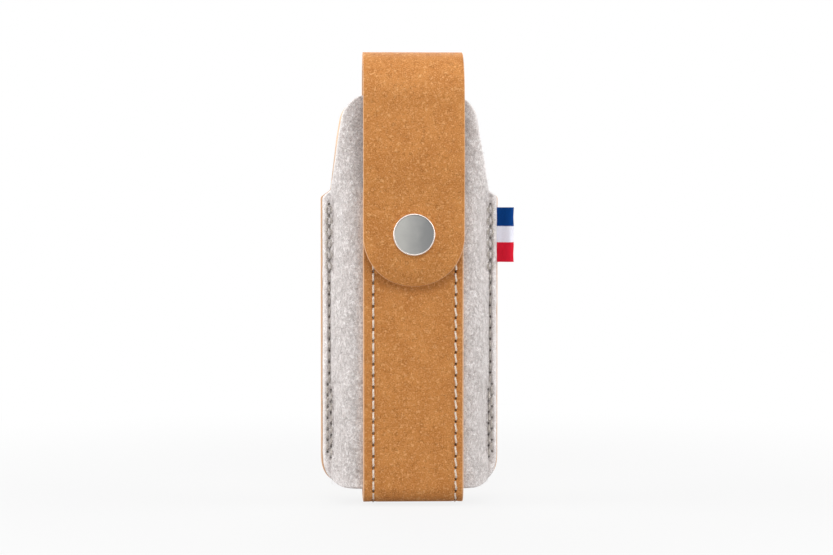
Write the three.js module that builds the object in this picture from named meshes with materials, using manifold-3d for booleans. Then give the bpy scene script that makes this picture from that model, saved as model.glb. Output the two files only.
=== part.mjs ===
// A belt sheath for a folding pocket knife: a felt front and a leather back sewn along both sides,
// a leather strap that wraps the pouch, forms the belt loop and folds over the mouth as a flap,
// and a press stud that holds the flap shut. Millimetres, +Z up, front towards -Y.
import * as THREE from "three";
import { mergeVertices } from "three/addons/utils/BufferGeometryUtils.js";
import Module from "manifold-3d";

const wasm = await Module();
wasm.setup();

// Driving dimensions: the pouch
const PANEL_WIDTH = 53;
const PANEL_FOOT = 4.2;
const PANEL_CORNER = 10.6;
const SHOULDER_HEIGHT = 91.6;
const SHOULDER_STEP = 2.6;
const SHOULDER_RISE = 2;
const SHOULDER_ROUND = 1;
const MOUTH_WIDTH = 38.4;
const MOUTH_CORNER = 8.5;
const POCKET_FRONT = 9.5;
const POCKET_BACK = 6;
const FELT_THICKNESS = 3;
const FELT_AT_SEAM = 1.3;
const FELT_AT_EDGE = 2.3;
const BACK_THICKNESS = 1.6;
const BACK_REVEAL = 0.4;
const FLANGE_ROUND = 0.35;

// Driving dimensions: the strap, the belt loop and the flap
const SHEATH_HEIGHT = 135;
const FLAP_HEADROOM = 13;
const STRAP_WIDTH = 30;
const STRAP_THICKNESS = 1.6;
const STRAP_FRONT_TOP = 93;
const FOLD_RADIUS = 5;
const LOOP_CENTRE = 64;
const LOOP_LENGTH = 50;
const LOOP_RAMP = 9;
const LOOP_GAP = 5;
const HINGE_ANGLE = THREE.MathUtils.degToRad(45);
const TIP_LEAN = 2.4;

// Driving dimensions: the press stud
const SNAP_HEIGHT = 80.4;
const CAP_RADIUS = 6.25;
const CAP_THICKNESS = 1.4;
const CAP_RIM = 0.55;
const TONGUE_END_EASE = 0.2;
const SNAP_BASE_RADIUS = 4.6;
const SNAP_SHEET = 0.5;
const STUD_NECK_RADIUS = 2.4;
const STUD_NECK_LENGTH = 1.15;
const STUD_HEAD_RADIUS = 2.85;
const STUD_HEAD_LENGTH = 0.75;
const SHANK_RADIUS = 1.3;
const SHANK_BORE = 0.7;
const CLENCH_RADIUS = 2.1;
const CLENCH_THICKNESS = 0.3;
const SPRING_WIRE = 0.3;
const SPRING_LEG = 2.5;
const SOCKET_PLAY = 0.6;

// Driving dimensions: ribbon, seams and thread
const RIBBON_WIDTH = 16.6;
const RIBBON_HEIGHT = 80.1;
const RIBBON_REACH = 4.6;
const RIBBON_TUCK = 4.5;
const RIBBON_THICKNESS = 0.4;
const RIBBON_FOLD = 0.9;
const SEAM_INSET = 2.4;
const SEAM_GROOVE = 2;
const SEAM_TOP = 89.4;
const SEAM_FOOT = 13;
const BACKTACK_TOP = 22;
const BACKTACK_FOOT = 19;
const BACKTACK_SPACING = 1.1;
const STITCH_PITCH = 3.42;
const THREAD_RADIUS = 0.32;
const STITCH_RISE = 0.15;
const STRAP_SEAM_INSET = 2.7;
const SEAM_END = 3;

// Clearances between touching pieces
const LAYER_GAP = 0.2;
const SEAT_GAP = 0.1;
const HINGE_SLIT = 0.3;
const RUNNING_GAP = 0.3;

// Fineness of round and sloping surfaces
const CHORD_ERROR = 0.03;
const TURNED_SIDES = 24;
const SWELL_STEPS = 14;
const RAMP_STEPS = 8;
const SPRING_SIDES = 6;
const THREAD_SIDES = 4;

// Places worked out from the dimensions above, as distances from the seam plane
const panelHalf = PANEL_WIDTH / 2;
const seamX = panelHalf - SEAM_INSET;
const halfSeam = LAYER_GAP / 2;
const mouthHeight = SHEATH_HEIGHT - FLAP_HEADROOM;
const feltOut = halfSeam + POCKET_FRONT + FELT_THICKNESS;
const strapFrontIn = feltOut + LAYER_GAP;
const strapFrontOut = strapFrontIn + STRAP_THICKNESS;
const backOut = halfSeam + POCKET_BACK + BACK_THICKNESS;
const strapBackIn = backOut + LAYER_GAP;
const strapBackMid = strapBackIn + STRAP_THICKNESS / 2;
const strapBackOut = strapBackIn + STRAP_THICKNESS;
const loopFoot = LOOP_CENTRE - LOOP_LENGTH / 2 - LOOP_RAMP;
const loopHead = LOOP_CENTRE + LOOP_LENGTH / 2 + LOOP_RAMP;
const strapSeamX = STRAP_WIDTH / 2 - STRAP_SEAM_INSET;

// The press stud's stack, from the strap's front face out to the tongue
const studFoot = strapFrontOut + SEAT_GAP;
const studFlange = studFoot + SNAP_SHEET;
const studHead = studFlange + STUD_NECK_LENGTH;
const studTop = studHead + STUD_HEAD_LENGTH;
const socketRim = studFlange + SEAT_GAP;
const springOut = studHead - SPRING_WIRE - SEAT_GAP;
const clenchFoot = studTop + LAYER_GAP;
const clenchTop = clenchFoot + CLENCH_THICKNESS;
const socketFloor = clenchTop + SEAT_GAP;
const socketTop = socketFloor + SNAP_SHEET;
const tongueIn = socketTop + SEAT_GAP;
const tongueMid = tongueIn + STRAP_THICKNESS / 2;
const capFoot = tongueIn + STRAP_THICKNESS + SEAT_GAP;

// The flap's arch over the mouth is half a circle from the back run to the tongue
const archRadius = (tongueMid + strapBackMid) / 2;
const archY = (strapBackMid - tongueMid) / 2;
const archZ = SHEATH_HEIGHT - STRAP_THICKNESS / 2 - archRadius;

// The part's origin is the middle of the belt slot
const origin = new THREE.Vector3(0, backOut + (LAYER_GAP + LOOP_GAP) / 2, LOOP_CENTRE);

const paint = (color, roughness, metalness = 0) =>
  new THREE.MeshStandardMaterial({ color, roughness, metalness });
const felt = paint(0xcfc6c1, 1);
const leather = paint(0xc88950, 0.75);
const steel = paint(0xa5a5a2, 0.35, 1);
const ribbonWeave = paint(0xdfe0e8, 0.8);
const creamThread = paint(0xf0ddc8, 0.85);
const greyThread = paint(0xafa59e, 0.9);

const sheath = new THREE.Group();
sheath.position.copy(origin).negate();

function addPiece(name, geometry, material) {
  const mesh = new THREE.Mesh(geometry, material);
  mesh.name = name;
  sheath.add(mesh);
}

// Solids and booleans

// Merges shared vertices, drops faces with no area and turns the faces outwards.
function closed(geometry) {
  const bare = new THREE.BufferGeometry();
  bare.setAttribute("position", geometry.getAttribute("position"));
  bare.setIndex(geometry.index);
  const merged = mergeVertices(bare, 1e-4);
  const corner = [new THREE.Vector3(), new THREE.Vector3(), new THREE.Vector3()];
  const faces = [];
  let volume = 0;
  for (let i = 0; i < merged.index.count; i += 3) {
    const face = [0, 1, 2].map((k) => merged.index.getX(i + k));
    if (new Set(face).size < 3) continue;
    face.forEach((v, k) => corner[k].fromBufferAttribute(merged.attributes.position, v));
    volume += corner[0].dot(corner[1].clone().cross(corner[2]));
    faces.push(face);
  }
  merged.setIndex(faces.flatMap((face) => (volume < 0 ? face.reverse() : face)));
  return merged;
}

function solidOf(geometry) {
  const shell = closed(geometry);
  const vertProperties = new Float32Array(shell.attributes.position.array);
  const triVerts = new Uint32Array(shell.index.array);
  return new wasm.Manifold(new wasm.Mesh({ numProp: 3, vertProperties, triVerts }));
}

function geometryOf(solid) {
  const mesh = solid.getMesh();
  const geometry = new THREE.BufferGeometry();
  geometry.setAttribute("position", new THREE.BufferAttribute(mesh.vertProperties, 3));
  geometry.setIndex(new THREE.BufferAttribute(mesh.triVerts, 1));
  return geometry;
}

const cut = (geometry, ...tools) =>
  geometryOf(tools.reduce((solid, tool) => solid.subtract(solidOf(tool)), solidOf(geometry)));
const common = (geometry, tool) => geometryOf(solidOf(geometry).intersect(solidOf(tool)));

// Shapes and sweeps

// A shape drawn in (y, z), given its width along X about the middle.
function extrudeAcross(points, width) {
  const geometry = new THREE.ExtrudeGeometry(new THREE.Shape(points), {
    depth: width,
    bevelEnabled: false,
  });
  const turn = new THREE.Matrix4().makeBasis(
    new THREE.Vector3(0, 1, 0),
    new THREE.Vector3(0, 0, 1),
    new THREE.Vector3(1, 0, 0),
  );
  return geometry.applyMatrix4(turn).translate(-width / 2, 0, 0);
}

// A shape drawn in (x, z), from one distance in front of the seam plane to another.
function extrudeForward(points, from, to) {
  const geometry = new THREE.ExtrudeGeometry(new THREE.Shape(points), {
    depth: to - from,
    bevelEnabled: false,
  });
  return geometry.rotateX(Math.PI / 2).translate(0, -from, 0);
}

// A shape drawn in (x, y), from one height to another.
function extrudeUp(points, low, high) {
  const geometry = new THREE.ExtrudeGeometry(new THREE.Shape(points), {
    depth: high - low,
    bevelEnabled: false,
  });
  return geometry.translate(0, 0, low);
}

// A turned piece on the press stud's axis: the profile is (radius, distance before the seam plane).
function turned(profile) {
  const ring = profile.map(([radius, out]) => new THREE.Vector2(radius, out));
  const geometry = new THREE.LatheGeometry(ring, TURNED_SIDES);
  return closed(geometry.rotateX(Math.PI).translate(0, 0, SNAP_HEIGHT));
}

// Joins rings of points, all of one even count, into a closed solid with a cap at each end.
// A cap is a ladder whose rungs join the first half of its ring to the second.
function loftRings(rings) {
  const count = rings[0].length;
  const index = [];
  for (let r = 0; r + 1 < rings.length; r++) {
    for (let k = 0; k < count; k++) {
      const a = r * count + k;
      const b = r * count + ((k + 1) % count);
      index.push(a, b, b + count, a, b + count, a + count);
    }
  }
  const last = (rings.length - 1) * count;
  for (let k = 0; k + 1 < count / 2; k++) {
    const [a, b, c, d] = [k, k + 1, count - 2 - k, count - 1 - k];
    index.push(a, c, b, a, d, c);
    index.push(last + a, last + b, last + c, last + a, last + c, last + d);
  }
  const geometry = new THREE.BufferGeometry().setFromPoints(rings.flat());
  geometry.setIndex(index);
  return closed(geometry);
}

// The outline of a strip of the given thickness about a middle line in the plane.
function strip(line, thickness) {
  const sides = [1, -1].map((side) =>
    line.map((point, i) => {
      const before = line[Math.max(i - 1, 0)];
      const after = line[Math.min(i + 1, line.length - 1)];
      const into = point.clone().sub(before).normalize();
      const away = after.clone().sub(point).normalize();
      const along = into.clone().add(away).normalize();
      const bend = Math.max(along.dot(i ? into : away), 0.5);
      const reach = (side * thickness) / 2 / bend;
      return new THREE.Vector2(point.x - along.y * reach, point.y + along.x * reach);
    }),
  );
  return [...sides[0], ...sides[1].reverse()];
}

// Points on an arc about a centre, both ends included, close enough to keep the chord error.
function arc(x, y, radius, from, to) {
  const widest = 2 * Math.acos(1 - Math.min(CHORD_ERROR / radius, 1));
  const steps = Math.max(2, Math.ceil(Math.abs(to - from) / widest));
  return Array.from({ length: steps + 1 }, (_, i) => {
    const angle = from + ((to - from) * i) / steps;
    return new THREE.Vector2(x + radius * Math.cos(angle), y + radius * Math.sin(angle));
  });
}

// Rounds each corner [x, y, radius] of an open line; a radius of 0 keeps the corner.
function filleted(corners) {
  return corners.flatMap(([x, y, radius], i) => {
    const point = new THREE.Vector2(x, y);
    if (!radius) return [point];
    const back = new THREE.Vector2(...corners[i - 1]).sub(point).normalize();
    const on = new THREE.Vector2(...corners[i + 1]).sub(point).normalize();
    const half = Math.acos(back.dot(on)) / 2;
    const centre = back.clone().add(on).setLength(radius / Math.sin(half)).add(point);
    const first = back.clone().multiplyScalar(radius / Math.tan(half)).add(point).sub(centre);
    const final = on.clone().multiplyScalar(radius / Math.tan(half)).add(point).sub(centre);
    const from = first.angle();
    const sweep = Math.atan2(first.cross(final), first.dot(final));
    return arc(centre.x, centre.y, radius, from, from + sweep);
  });
}

// The two panels of the pouch

// The right half of a panel's outline, from its foot to the mouth, as (half width, height).
function panelOutline(reveal) {
  const half = panelHalf + reveal;
  const neck = half - SHOULDER_STEP;
  return filleted([
    [0, PANEL_FOOT, 0],
    [half, PANEL_FOOT, PANEL_CORNER],
    [half, SHOULDER_HEIGHT, SHOULDER_ROUND],
    [neck, SHOULDER_HEIGHT + SHOULDER_RISE, SHOULDER_ROUND],
    [MOUTH_WIDTH / 2 + reveal, mouthHeight, MOUTH_CORNER],
    [0, mouthHeight, 0],
  ]).slice(1, -1);
}

// The sides swell like a pillow: shares of the run that stay high and low, of the rise that is
// steep above the seam, and where along the curve the sheet begins to be pressed thin.
const SWELL_HIGH = 0.55;
const SWELL_LOW = 0.06;
const SWELL_STEEP = 0.45;
const SWELL_PRESSED = 0.6;

// One panel's cross-section: flat under the strap, then round and down to the seam's flange.
// Each station has its place on the outer face, the way in from there, and the sheet's thickness.
function panelSection(depth, body, seam, edge, reveal) {
  const crest = depth + body;
  const foot = seamX - SEAM_GROOVE / 2;
  const rim = seamX + SEAM_GROOVE / 2;
  const half = panelHalf + reveal;
  const run = foot - STRAP_WIDTH / 2;
  const swell = new THREE.CubicBezierCurve(
    new THREE.Vector2(STRAP_WIDTH / 2, crest),
    new THREE.Vector2(STRAP_WIDTH / 2 + run * SWELL_HIGH, crest),
    new THREE.Vector2(foot - run * SWELL_LOW, seam + (crest - seam) * SWELL_STEEP),
    new THREE.Vector2(foot, seam),
  );
  const straightIn = new THREE.Vector2(0, -1);
  const stations = [{ out: new THREE.Vector2(0, crest), inward: straightIn, thick: body }];
  for (let i = 0; i <= SWELL_STEPS; i++) {
    const t = i / SWELL_STEPS;
    const along = swell.getTangent(t);
    const press = THREE.MathUtils.smoothstep(t, SWELL_PRESSED, 1);
    stations.push({
      out: swell.getPoint(t),
      inward: new THREE.Vector2(along.y, -along.x),
      thick: THREE.MathUtils.lerp(body, seam, press),
    });
  }
  const flange = [
    [foot + FLANGE_ROUND, seam],
    [rim, seam],
    [rim + FLANGE_ROUND, edge],
    [half - FLANGE_ROUND, edge],
    [half, (seam + edge) / 2],
  ];
  for (const [x, height] of flange) {
    stations.push({ out: new THREE.Vector2(x, height), inward: straightIn, thick: height });
  }
  return stations;
}

// A panel: the bent sheet, as long as the pouch, cut to the panel's outline seen from the front.
function panel(side, section, reveal) {
  const flip = ({ x, y }) => new THREE.Vector2(-x, y);
  const across = (points) => [...points.slice(1).reverse().map(flip), ...points];
  const outer = section.map(({ out }) => out);
  const inner = section.map(({ out, inward, thick }) => out.clone().addScaledVector(inward, thick));
  const profile = [...across(outer), ...across(inner).reverse()].map(
    ({ x, y }) => new THREE.Vector2(x, side * (halfSeam + y)),
  );
  const sheet = extrudeUp(profile, 0, SHEATH_HEIGHT);
  const outline = panelOutline(reveal);
  const blank = extrudeForward([...outline, ...outline.map(flip).reverse()], -strapBackIn, strapFrontIn);
  return common(sheet, blank);
}

// A box between two corners.
function block(low, high) {
  const size = high.map((value, i) => value - low[i]);
  const middle = high.map((value, i) => (value + low[i]) / 2);
  return new THREE.BoxGeometry(...size).translate(...middle);
}

// A round hole or recess on the press stud's axis.
const bore = (radius, from, to) =>
  turned([[0, from], [radius, from], [radius, to], [0, to]]);

// Where the ribbon is tucked into the right-hand seam, both panels give way to it.
const ribbonHalf = RIBBON_THICKNESS + (SEAT_GAP + LAYER_GAP * 2) / 2;
const ribbonPocket = block(
  [panelHalf - RIBBON_TUCK - LAYER_GAP, -ribbonHalf, RIBBON_HEIGHT - RIBBON_WIDTH / 2 - LAYER_GAP],
  [PANEL_WIDTH, ribbonHalf, RIBBON_HEIGHT + RIBBON_WIDTH / 2 + LAYER_GAP],
);

// The rivet's head is pressed into the felt behind the strap.
const rivetHeadFoot = strapFrontIn - SEAT_GAP - SNAP_SHEET;
const rivetRecess = bore(SNAP_BASE_RADIUS + RUNNING_GAP, rivetHeadFoot - SEAT_GAP, strapFrontOut);

const feltSection = panelSection(POCKET_FRONT, FELT_THICKNESS, FELT_AT_SEAM, FELT_AT_EDGE, 0);
const backSection = panelSection(
  POCKET_BACK,
  BACK_THICKNESS,
  BACK_THICKNESS,
  BACK_THICKNESS,
  BACK_REVEAL,
);
addPiece("front_felt_panel", cut(panel(-1, feltSection, 0), ribbonPocket, rivetRecess), felt);
addPiece("back_panel", cut(panel(1, backSection, BACK_REVEAL), ribbonPocket), leather);

// The strap: down the front, under the pouch, up the back with the belt loop, to the flap's arch

const slit = HINGE_SLIT / archRadius / 2;
const archArc = (from, to) => arc(archY, archZ, archRadius, from, to);

// A soft step sideways between two heights on the back run.
function loopRamp(fromY, fromZ, toY, toZ) {
  const middle = (fromZ + toZ) / 2;
  const curve = new THREE.CubicBezierCurve(
    new THREE.Vector2(fromY, fromZ),
    new THREE.Vector2(fromY, middle),
    new THREE.Vector2(toY, middle),
    new THREE.Vector2(toY, toZ),
  );
  return curve.getPoints(RAMP_STEPS);
}

const foldMid = FOLD_RADIUS - STRAP_THICKNESS / 2;
const loopMid = strapBackMid + LOOP_GAP;
const strapFront = [
  new THREE.Vector2(-strapFrontIn - STRAP_THICKNESS / 2, STRAP_FRONT_TOP),
  ...arc(-strapFrontOut + FOLD_RADIUS, FOLD_RADIUS, foldMid, Math.PI, Math.PI * 1.5),
  ...arc(strapBackOut - FOLD_RADIUS, FOLD_RADIUS, foldMid, Math.PI * 1.5, Math.PI * 2),
];
const strapLine = [
  ...strapFront,
  ...loopRamp(strapBackMid, loopFoot, loopMid, loopFoot + LOOP_RAMP),
  ...loopRamp(loopMid, loopHead - LOOP_RAMP, strapBackMid, loopHead),
  ...archArc(0, HINGE_ANGLE - slit),
];
const stripAcross = (line) => extrudeAcross(strip(line, STRAP_THICKNESS), STRAP_WIDTH);
const shankHole = bore(SHANK_RADIUS + RUNNING_GAP, rivetHeadFoot, capFoot);
addPiece("strap", cut(stripAcross(strapLine), shankHole), leather);

// The flap bends on two lines of the arch, where its crown and its tongue are parted by a slit
const crownLine = archArc(HINGE_ANGLE + slit, Math.PI - HINGE_ANGLE - slit);
addPiece("flap_crown", closed(stripAcross(crownLine)), leather);

// The tongue hangs straight to the press stud's cap, and below it leans in towards the strap
const tongueEnd = STRAP_WIDTH / 2 + TONGUE_END_EASE;
const tipFoot = SNAP_HEIGHT - tongueEnd - STRAP_THICKNESS / 2;
const capEdge = SNAP_HEIGHT - CAP_RADIUS;
const tipBend = new THREE.QuadraticBezierCurve(
  new THREE.Vector2(-tongueMid, capEdge),
  new THREE.Vector2(-tongueMid, (capEdge + tipFoot) / 2),
  new THREE.Vector2(TIP_LEAN - tongueMid, tipFoot),
);
const tongueLine = [
  ...archArc(Math.PI - HINGE_ANGLE + slit, Math.PI),
  ...tipBend.getPoints(RAMP_STEPS),
];
const tongueOutline = [
  new THREE.Vector2(tongueEnd, SHEATH_HEIGHT),
  new THREE.Vector2(-tongueEnd, SHEATH_HEIGHT),
  ...arc(0, SNAP_HEIGHT, tongueEnd, -Math.PI, 0),
];
const tongueBlank = common(stripAcross(tongueLine), extrudeForward(tongueOutline, 0, capFoot));
addPiece("flap_tongue", cut(tongueBlank, shankHole), leather);

// The press stud: rivet and stud on the strap, socket, spring and cap on the tongue

const neckBore = STUD_NECK_RADIUS - SNAP_SHEET;
const shankFit = SHANK_RADIUS + SEAT_GAP;
const flareFoot = studFlange + SEAT_GAP;
addPiece(
  "snap_rivet",
  turned([
    [0, rivetHeadFoot],
    [SNAP_BASE_RADIUS, rivetHeadFoot],
    [SNAP_BASE_RADIUS, rivetHeadFoot + SNAP_SHEET],
    [SHANK_RADIUS, rivetHeadFoot + SNAP_SHEET],
    [SHANK_RADIUS, flareFoot],
    [neckBore - SEAT_GAP, flareFoot],
    [neckBore - SEAT_GAP, flareFoot + CLENCH_THICKNESS],
    [SHANK_BORE, flareFoot + CLENCH_THICKNESS],
    [SHANK_BORE, rivetHeadFoot + SNAP_SHEET],
    [0, rivetHeadFoot + SNAP_SHEET],
  ]),
  steel,
);
addPiece(
  "snap_stud",
  turned([
    [0, studTop - SNAP_SHEET],
    [neckBore, studTop - SNAP_SHEET],
    [neckBore, studFlange],
    [shankFit, studFlange],
    [shankFit, studFoot],
    [SNAP_BASE_RADIUS, studFoot],
    [SNAP_BASE_RADIUS, studFlange],
    [STUD_NECK_RADIUS, studFlange],
    [STUD_NECK_RADIUS, studHead],
    [STUD_HEAD_RADIUS, studHead + STUD_HEAD_LENGTH / 3],
    [STUD_HEAD_RADIUS, studTop - STUD_HEAD_LENGTH / 3],
    [STUD_NECK_RADIUS, studTop],
    [0, studTop],
  ]),
  steel,
);

// The spring is a hairpin of wire, open below, whose legs grip the stud's neck under its head.
const springX = STUD_NECK_RADIUS + RUNNING_GAP + SPRING_WIRE;
const springGroove = Math.hypot(springX, SPRING_LEG) + SPRING_WIRE + SEAT_GAP;
const socketBore = STUD_HEAD_RADIUS + SOCKET_PLAY;
addPiece(
  "snap_socket",
  turned([
    [socketBore, socketRim],
    [springGroove + SNAP_SHEET, socketRim],
    [springGroove + SNAP_SHEET, socketTop],
    [shankFit, socketTop],
    [shankFit, socketFloor],
    [socketBore, socketFloor],
    [socketBore, springOut + SPRING_WIRE + SEAT_GAP],
    [springGroove, springOut + SPRING_WIRE + SEAT_GAP],
    [springGroove, springOut - SPRING_WIRE - SEAT_GAP],
    [socketBore, springOut - SPRING_WIRE - SEAT_GAP],
    [socketBore, socketRim],
  ]),
  steel,
);
addPiece(
  "snap_cap",
  turned([
    [0, capFoot + CAP_THICKNESS - CAP_RIM / 2],
    [CAP_RADIUS - CAP_RIM * 1.5, capFoot + CAP_THICKNESS - CAP_RIM / 2],
    [CAP_RADIUS - CAP_RIM, capFoot + CAP_THICKNESS],
    [CAP_RADIUS - CAP_RIM / 3, capFoot + CAP_THICKNESS - CAP_RIM / 4],
    [CAP_RADIUS, capFoot + CAP_THICKNESS - CAP_RIM],
    [CAP_RADIUS, capFoot],
    [SHANK_RADIUS, capFoot],
    [SHANK_RADIUS, clenchTop],
    [CLENCH_RADIUS, clenchTop],
    [CLENCH_RADIUS, clenchFoot],
    [SHANK_BORE, clenchFoot],
    [SHANK_BORE, capFoot],
    [0, capFoot],
  ]),
  steel,
);

// A tube through points, each with the direction that is up there; every ring has the same sides.
function tube(stations, radius, sides) {
  const rings = stations.map(({ at, up }, i) => {
    const before = stations[Math.max(i - 1, 0)].at;
    const after = stations[Math.min(i + 1, stations.length - 1)].at;
    const along = after.clone().sub(before).normalize();
    const across = along.clone().cross(up).normalize();
    const rise = across.clone().cross(along);
    return Array.from({ length: sides }, (_, k) => {
      const angle = (k * 2 * Math.PI) / sides;
      return at
        .clone()
        .addScaledVector(across, radius * Math.cos(angle))
        .addScaledVector(rise, radius * Math.sin(angle));
    });
  });
  return loftRings(rings);
}

const forward = new THREE.Vector3(0, -1, 0);
const springLine = [
  new THREE.Vector2(springX, -SPRING_LEG),
  ...arc(0, 0, springX, 0, Math.PI),
  new THREE.Vector2(-springX, -SPRING_LEG),
];
const springStations = springLine.map(({ x, y }) => ({
  at: new THREE.Vector3(x, -springOut, SNAP_HEIGHT + y),
  up: forward,
}));
addPiece("snap_spring", tube(springStations, SPRING_WIRE, SPRING_SIDES), steel);

// The ribbon: folded into a loop, with both ends tucked into the seam

const ribbonLayer = (RIBBON_THICKNESS + SEAT_GAP) / 2;
const ribbonEdge = panelHalf + BACK_REVEAL;
const ribbonTurn = panelHalf + RIBBON_REACH - RIBBON_THICKNESS / 2 - RIBBON_FOLD;
const ribbonSwell = new THREE.CubicBezierCurve(
  new THREE.Vector2(ribbonEdge, -ribbonLayer),
  new THREE.Vector2((ribbonEdge + ribbonTurn) / 2, -ribbonLayer),
  new THREE.Vector2((ribbonEdge + ribbonTurn) / 2, -RIBBON_FOLD),
  new THREE.Vector2(ribbonTurn, -RIBBON_FOLD),
).getPoints(RAMP_STEPS);
const ribbonFront = [new THREE.Vector2(panelHalf - RIBBON_TUCK, -ribbonLayer), ...ribbonSwell];
const ribbonBack = ribbonFront.map(({ x, y }) => new THREE.Vector2(x, -y)).reverse();
const ribbonFold = arc(ribbonTurn, 0, RIBBON_FOLD, -Math.PI / 2, Math.PI / 2).slice(1, -1);
const ribbonLine = [...ribbonFront, ...ribbonFold, ...ribbonBack];
const ribbonLow = RIBBON_HEIGHT - RIBBON_WIDTH / 2;
addPiece(
  "ribbon_tab",
  closed(extrudeUp(strip(ribbonLine, RIBBON_THICKNESS), ribbonLow, ribbonLow + RIBBON_WIDTH)),
  ribbonWeave,
);

// Sewing thread: each row is one unbroken thread that rises over every stitch

// Divides a line into half stitches, with a point at every corner of the line.
function halfStitches(corners) {
  const points = [corners[0]];
  for (let i = 1; i < corners.length; i++) {
    const span = corners[i].distanceTo(corners[i - 1]);
    const count = Math.max(1, Math.round((2 * span) / STITCH_PITCH));
    for (let k = 1; k <= count; k++) {
      points.push(corners[i - 1].clone().lerp(corners[i], k / count));
    }
  }
  return points;
}

// A thread on a surface that maps a point of the line to a place and the way out of the surface.
function thread(corners, surface) {
  const stations = halfStitches(corners.map(([a, b]) => new THREE.Vector2(a, b))).map((p, i) => {
    const { at, up } = surface(p.x, p.y);
    const height = SEAT_GAP + THREAD_RADIUS + (i % 2) * STITCH_RISE;
    return { at: at.addScaledVector(up, height), up };
  });
  return tube(stations, THREAD_RADIUS, THREAD_SIDES);
}

const flatSurface = (y, facing) => (x, z) => ({
  at: new THREE.Vector3(x, y, z),
  up: new THREE.Vector3(0, facing, 0),
});
const seamFront = flatSurface(-halfSeam - FELT_AT_SEAM, -1);
const seamBack = flatSurface(halfSeam + BACK_THICKNESS, 1);
const feltInside = flatSurface(-halfSeam - POCKET_FRONT, 1);
const backInside = flatSurface(halfSeam + POCKET_BACK, -1);
const strapBack = flatSurface(strapBackOut, 1);

// The strap's outer face, by the distance along its middle line from the top of the front run.
function strapFace(x, distance) {
  let left = distance;
  let i = 1;
  while (i + 1 < strapLine.length && left > strapLine[i].distanceTo(strapLine[i - 1])) {
    left -= strapLine[i].distanceTo(strapLine[i - 1]);
    i += 1;
  }
  const along = strapLine[i].clone().sub(strapLine[i - 1]).normalize();
  const up = new THREE.Vector3(0, along.y, -along.x);
  const at = strapLine[i - 1].clone().addScaledVector(along, left);
  return { at: new THREE.Vector3(x, at.x, at.y).addScaledVector(up, STRAP_THICKNESS / 2), up };
}

// Distance along the strap's middle line from the top of the front run to a height on the back.
function strapReach(height) {
  const toFold = strapFront.slice(1).map((point, i) => point.distanceTo(strapFront[i]));
  return toFold.reduce((sum, step) => sum + step, 0) + height - FOLD_RADIUS;
}

const tack = BACKTACK_SPACING / 2;
const tackTop = SEAM_TOP - BACKTACK_TOP;
const tackFoot = SEAM_FOOT + BACKTACK_FOOT;
for (const [side, sign] of [["left", -1], ["right", 1]]) {
  const x = sign * seamX;
  const inner = x - sign * tack;
  const outer = x + sign * tack;
  const seamRow = [
    [inner, tackTop],
    [inner, SEAM_TOP],
    [outer, SEAM_TOP],
    [outer, tackTop],
    [x, tackTop - STITCH_PITCH],
    [x, tackFoot + STITCH_PITCH],
    [outer, tackFoot],
    [outer, SEAM_FOOT],
    [inner, SEAM_FOOT],
    [inner, tackFoot],
  ];
  addPiece(`${side}_seam_thread`, thread(seamRow, seamFront), greyThread);
  const seamUnder = [[x, SEAM_TOP], [x, SEAM_FOOT]];
  addPiece(`${side}_seam_bobbin_thread`, thread(seamUnder, seamBack), greyThread);
  const rowX = sign * strapSeamX;
  const strapRow = [[rowX, SEAM_END], [rowX, strapReach(loopFoot - SEAM_END * 2)]];
  addPiece(`${side}_strap_thread`, thread(strapRow, strapFace), creamThread);
  const strapUnder = [[rowX, STRAP_FRONT_TOP - SEAM_END], [rowX, PANEL_FOOT + SEAM_END]];
  addPiece(`${side}_strap_bobbin_thread`, thread(strapUnder, feltInside), creamThread);
}

// Rows across the strap at both ends of the belt loop, and their threads inside the pouch
const lowBar = loopFoot - SEAM_END;
const highBar = loopHead + SEAM_END;
const barX = strapSeamX;
const highEnd = mouthHeight - SEAM_END;
const highRow = [[-barX, highEnd], [-barX, highBar], [barX, highBar], [barX, highEnd]];
const lowRow = [[-barX, lowBar], [barX, lowBar]];
const lowUnder = [
  [-barX, PANEL_FOOT + SEAM_END],
  [-barX, lowBar],
  [barX, lowBar],
  [barX, PANEL_FOOT + SEAM_END],
];
addPiece("belt_loop_upper_thread", thread(highRow, strapBack), creamThread);
addPiece("belt_loop_lower_thread", thread(lowRow, strapBack), creamThread);
addPiece("belt_loop_upper_bobbin_thread", thread(highRow, backInside), creamThread);
addPiece("belt_loop_lower_bobbin_thread", thread(lowUnder, backInside), creamThread);

export default sheath;
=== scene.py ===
"""Looks of a belt sheath for a folding knife: felt pouch, leather strap and flap, press stud, ribbon."""

import math

import bmesh
import bpy
import numpy as np
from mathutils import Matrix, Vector, noise


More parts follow.
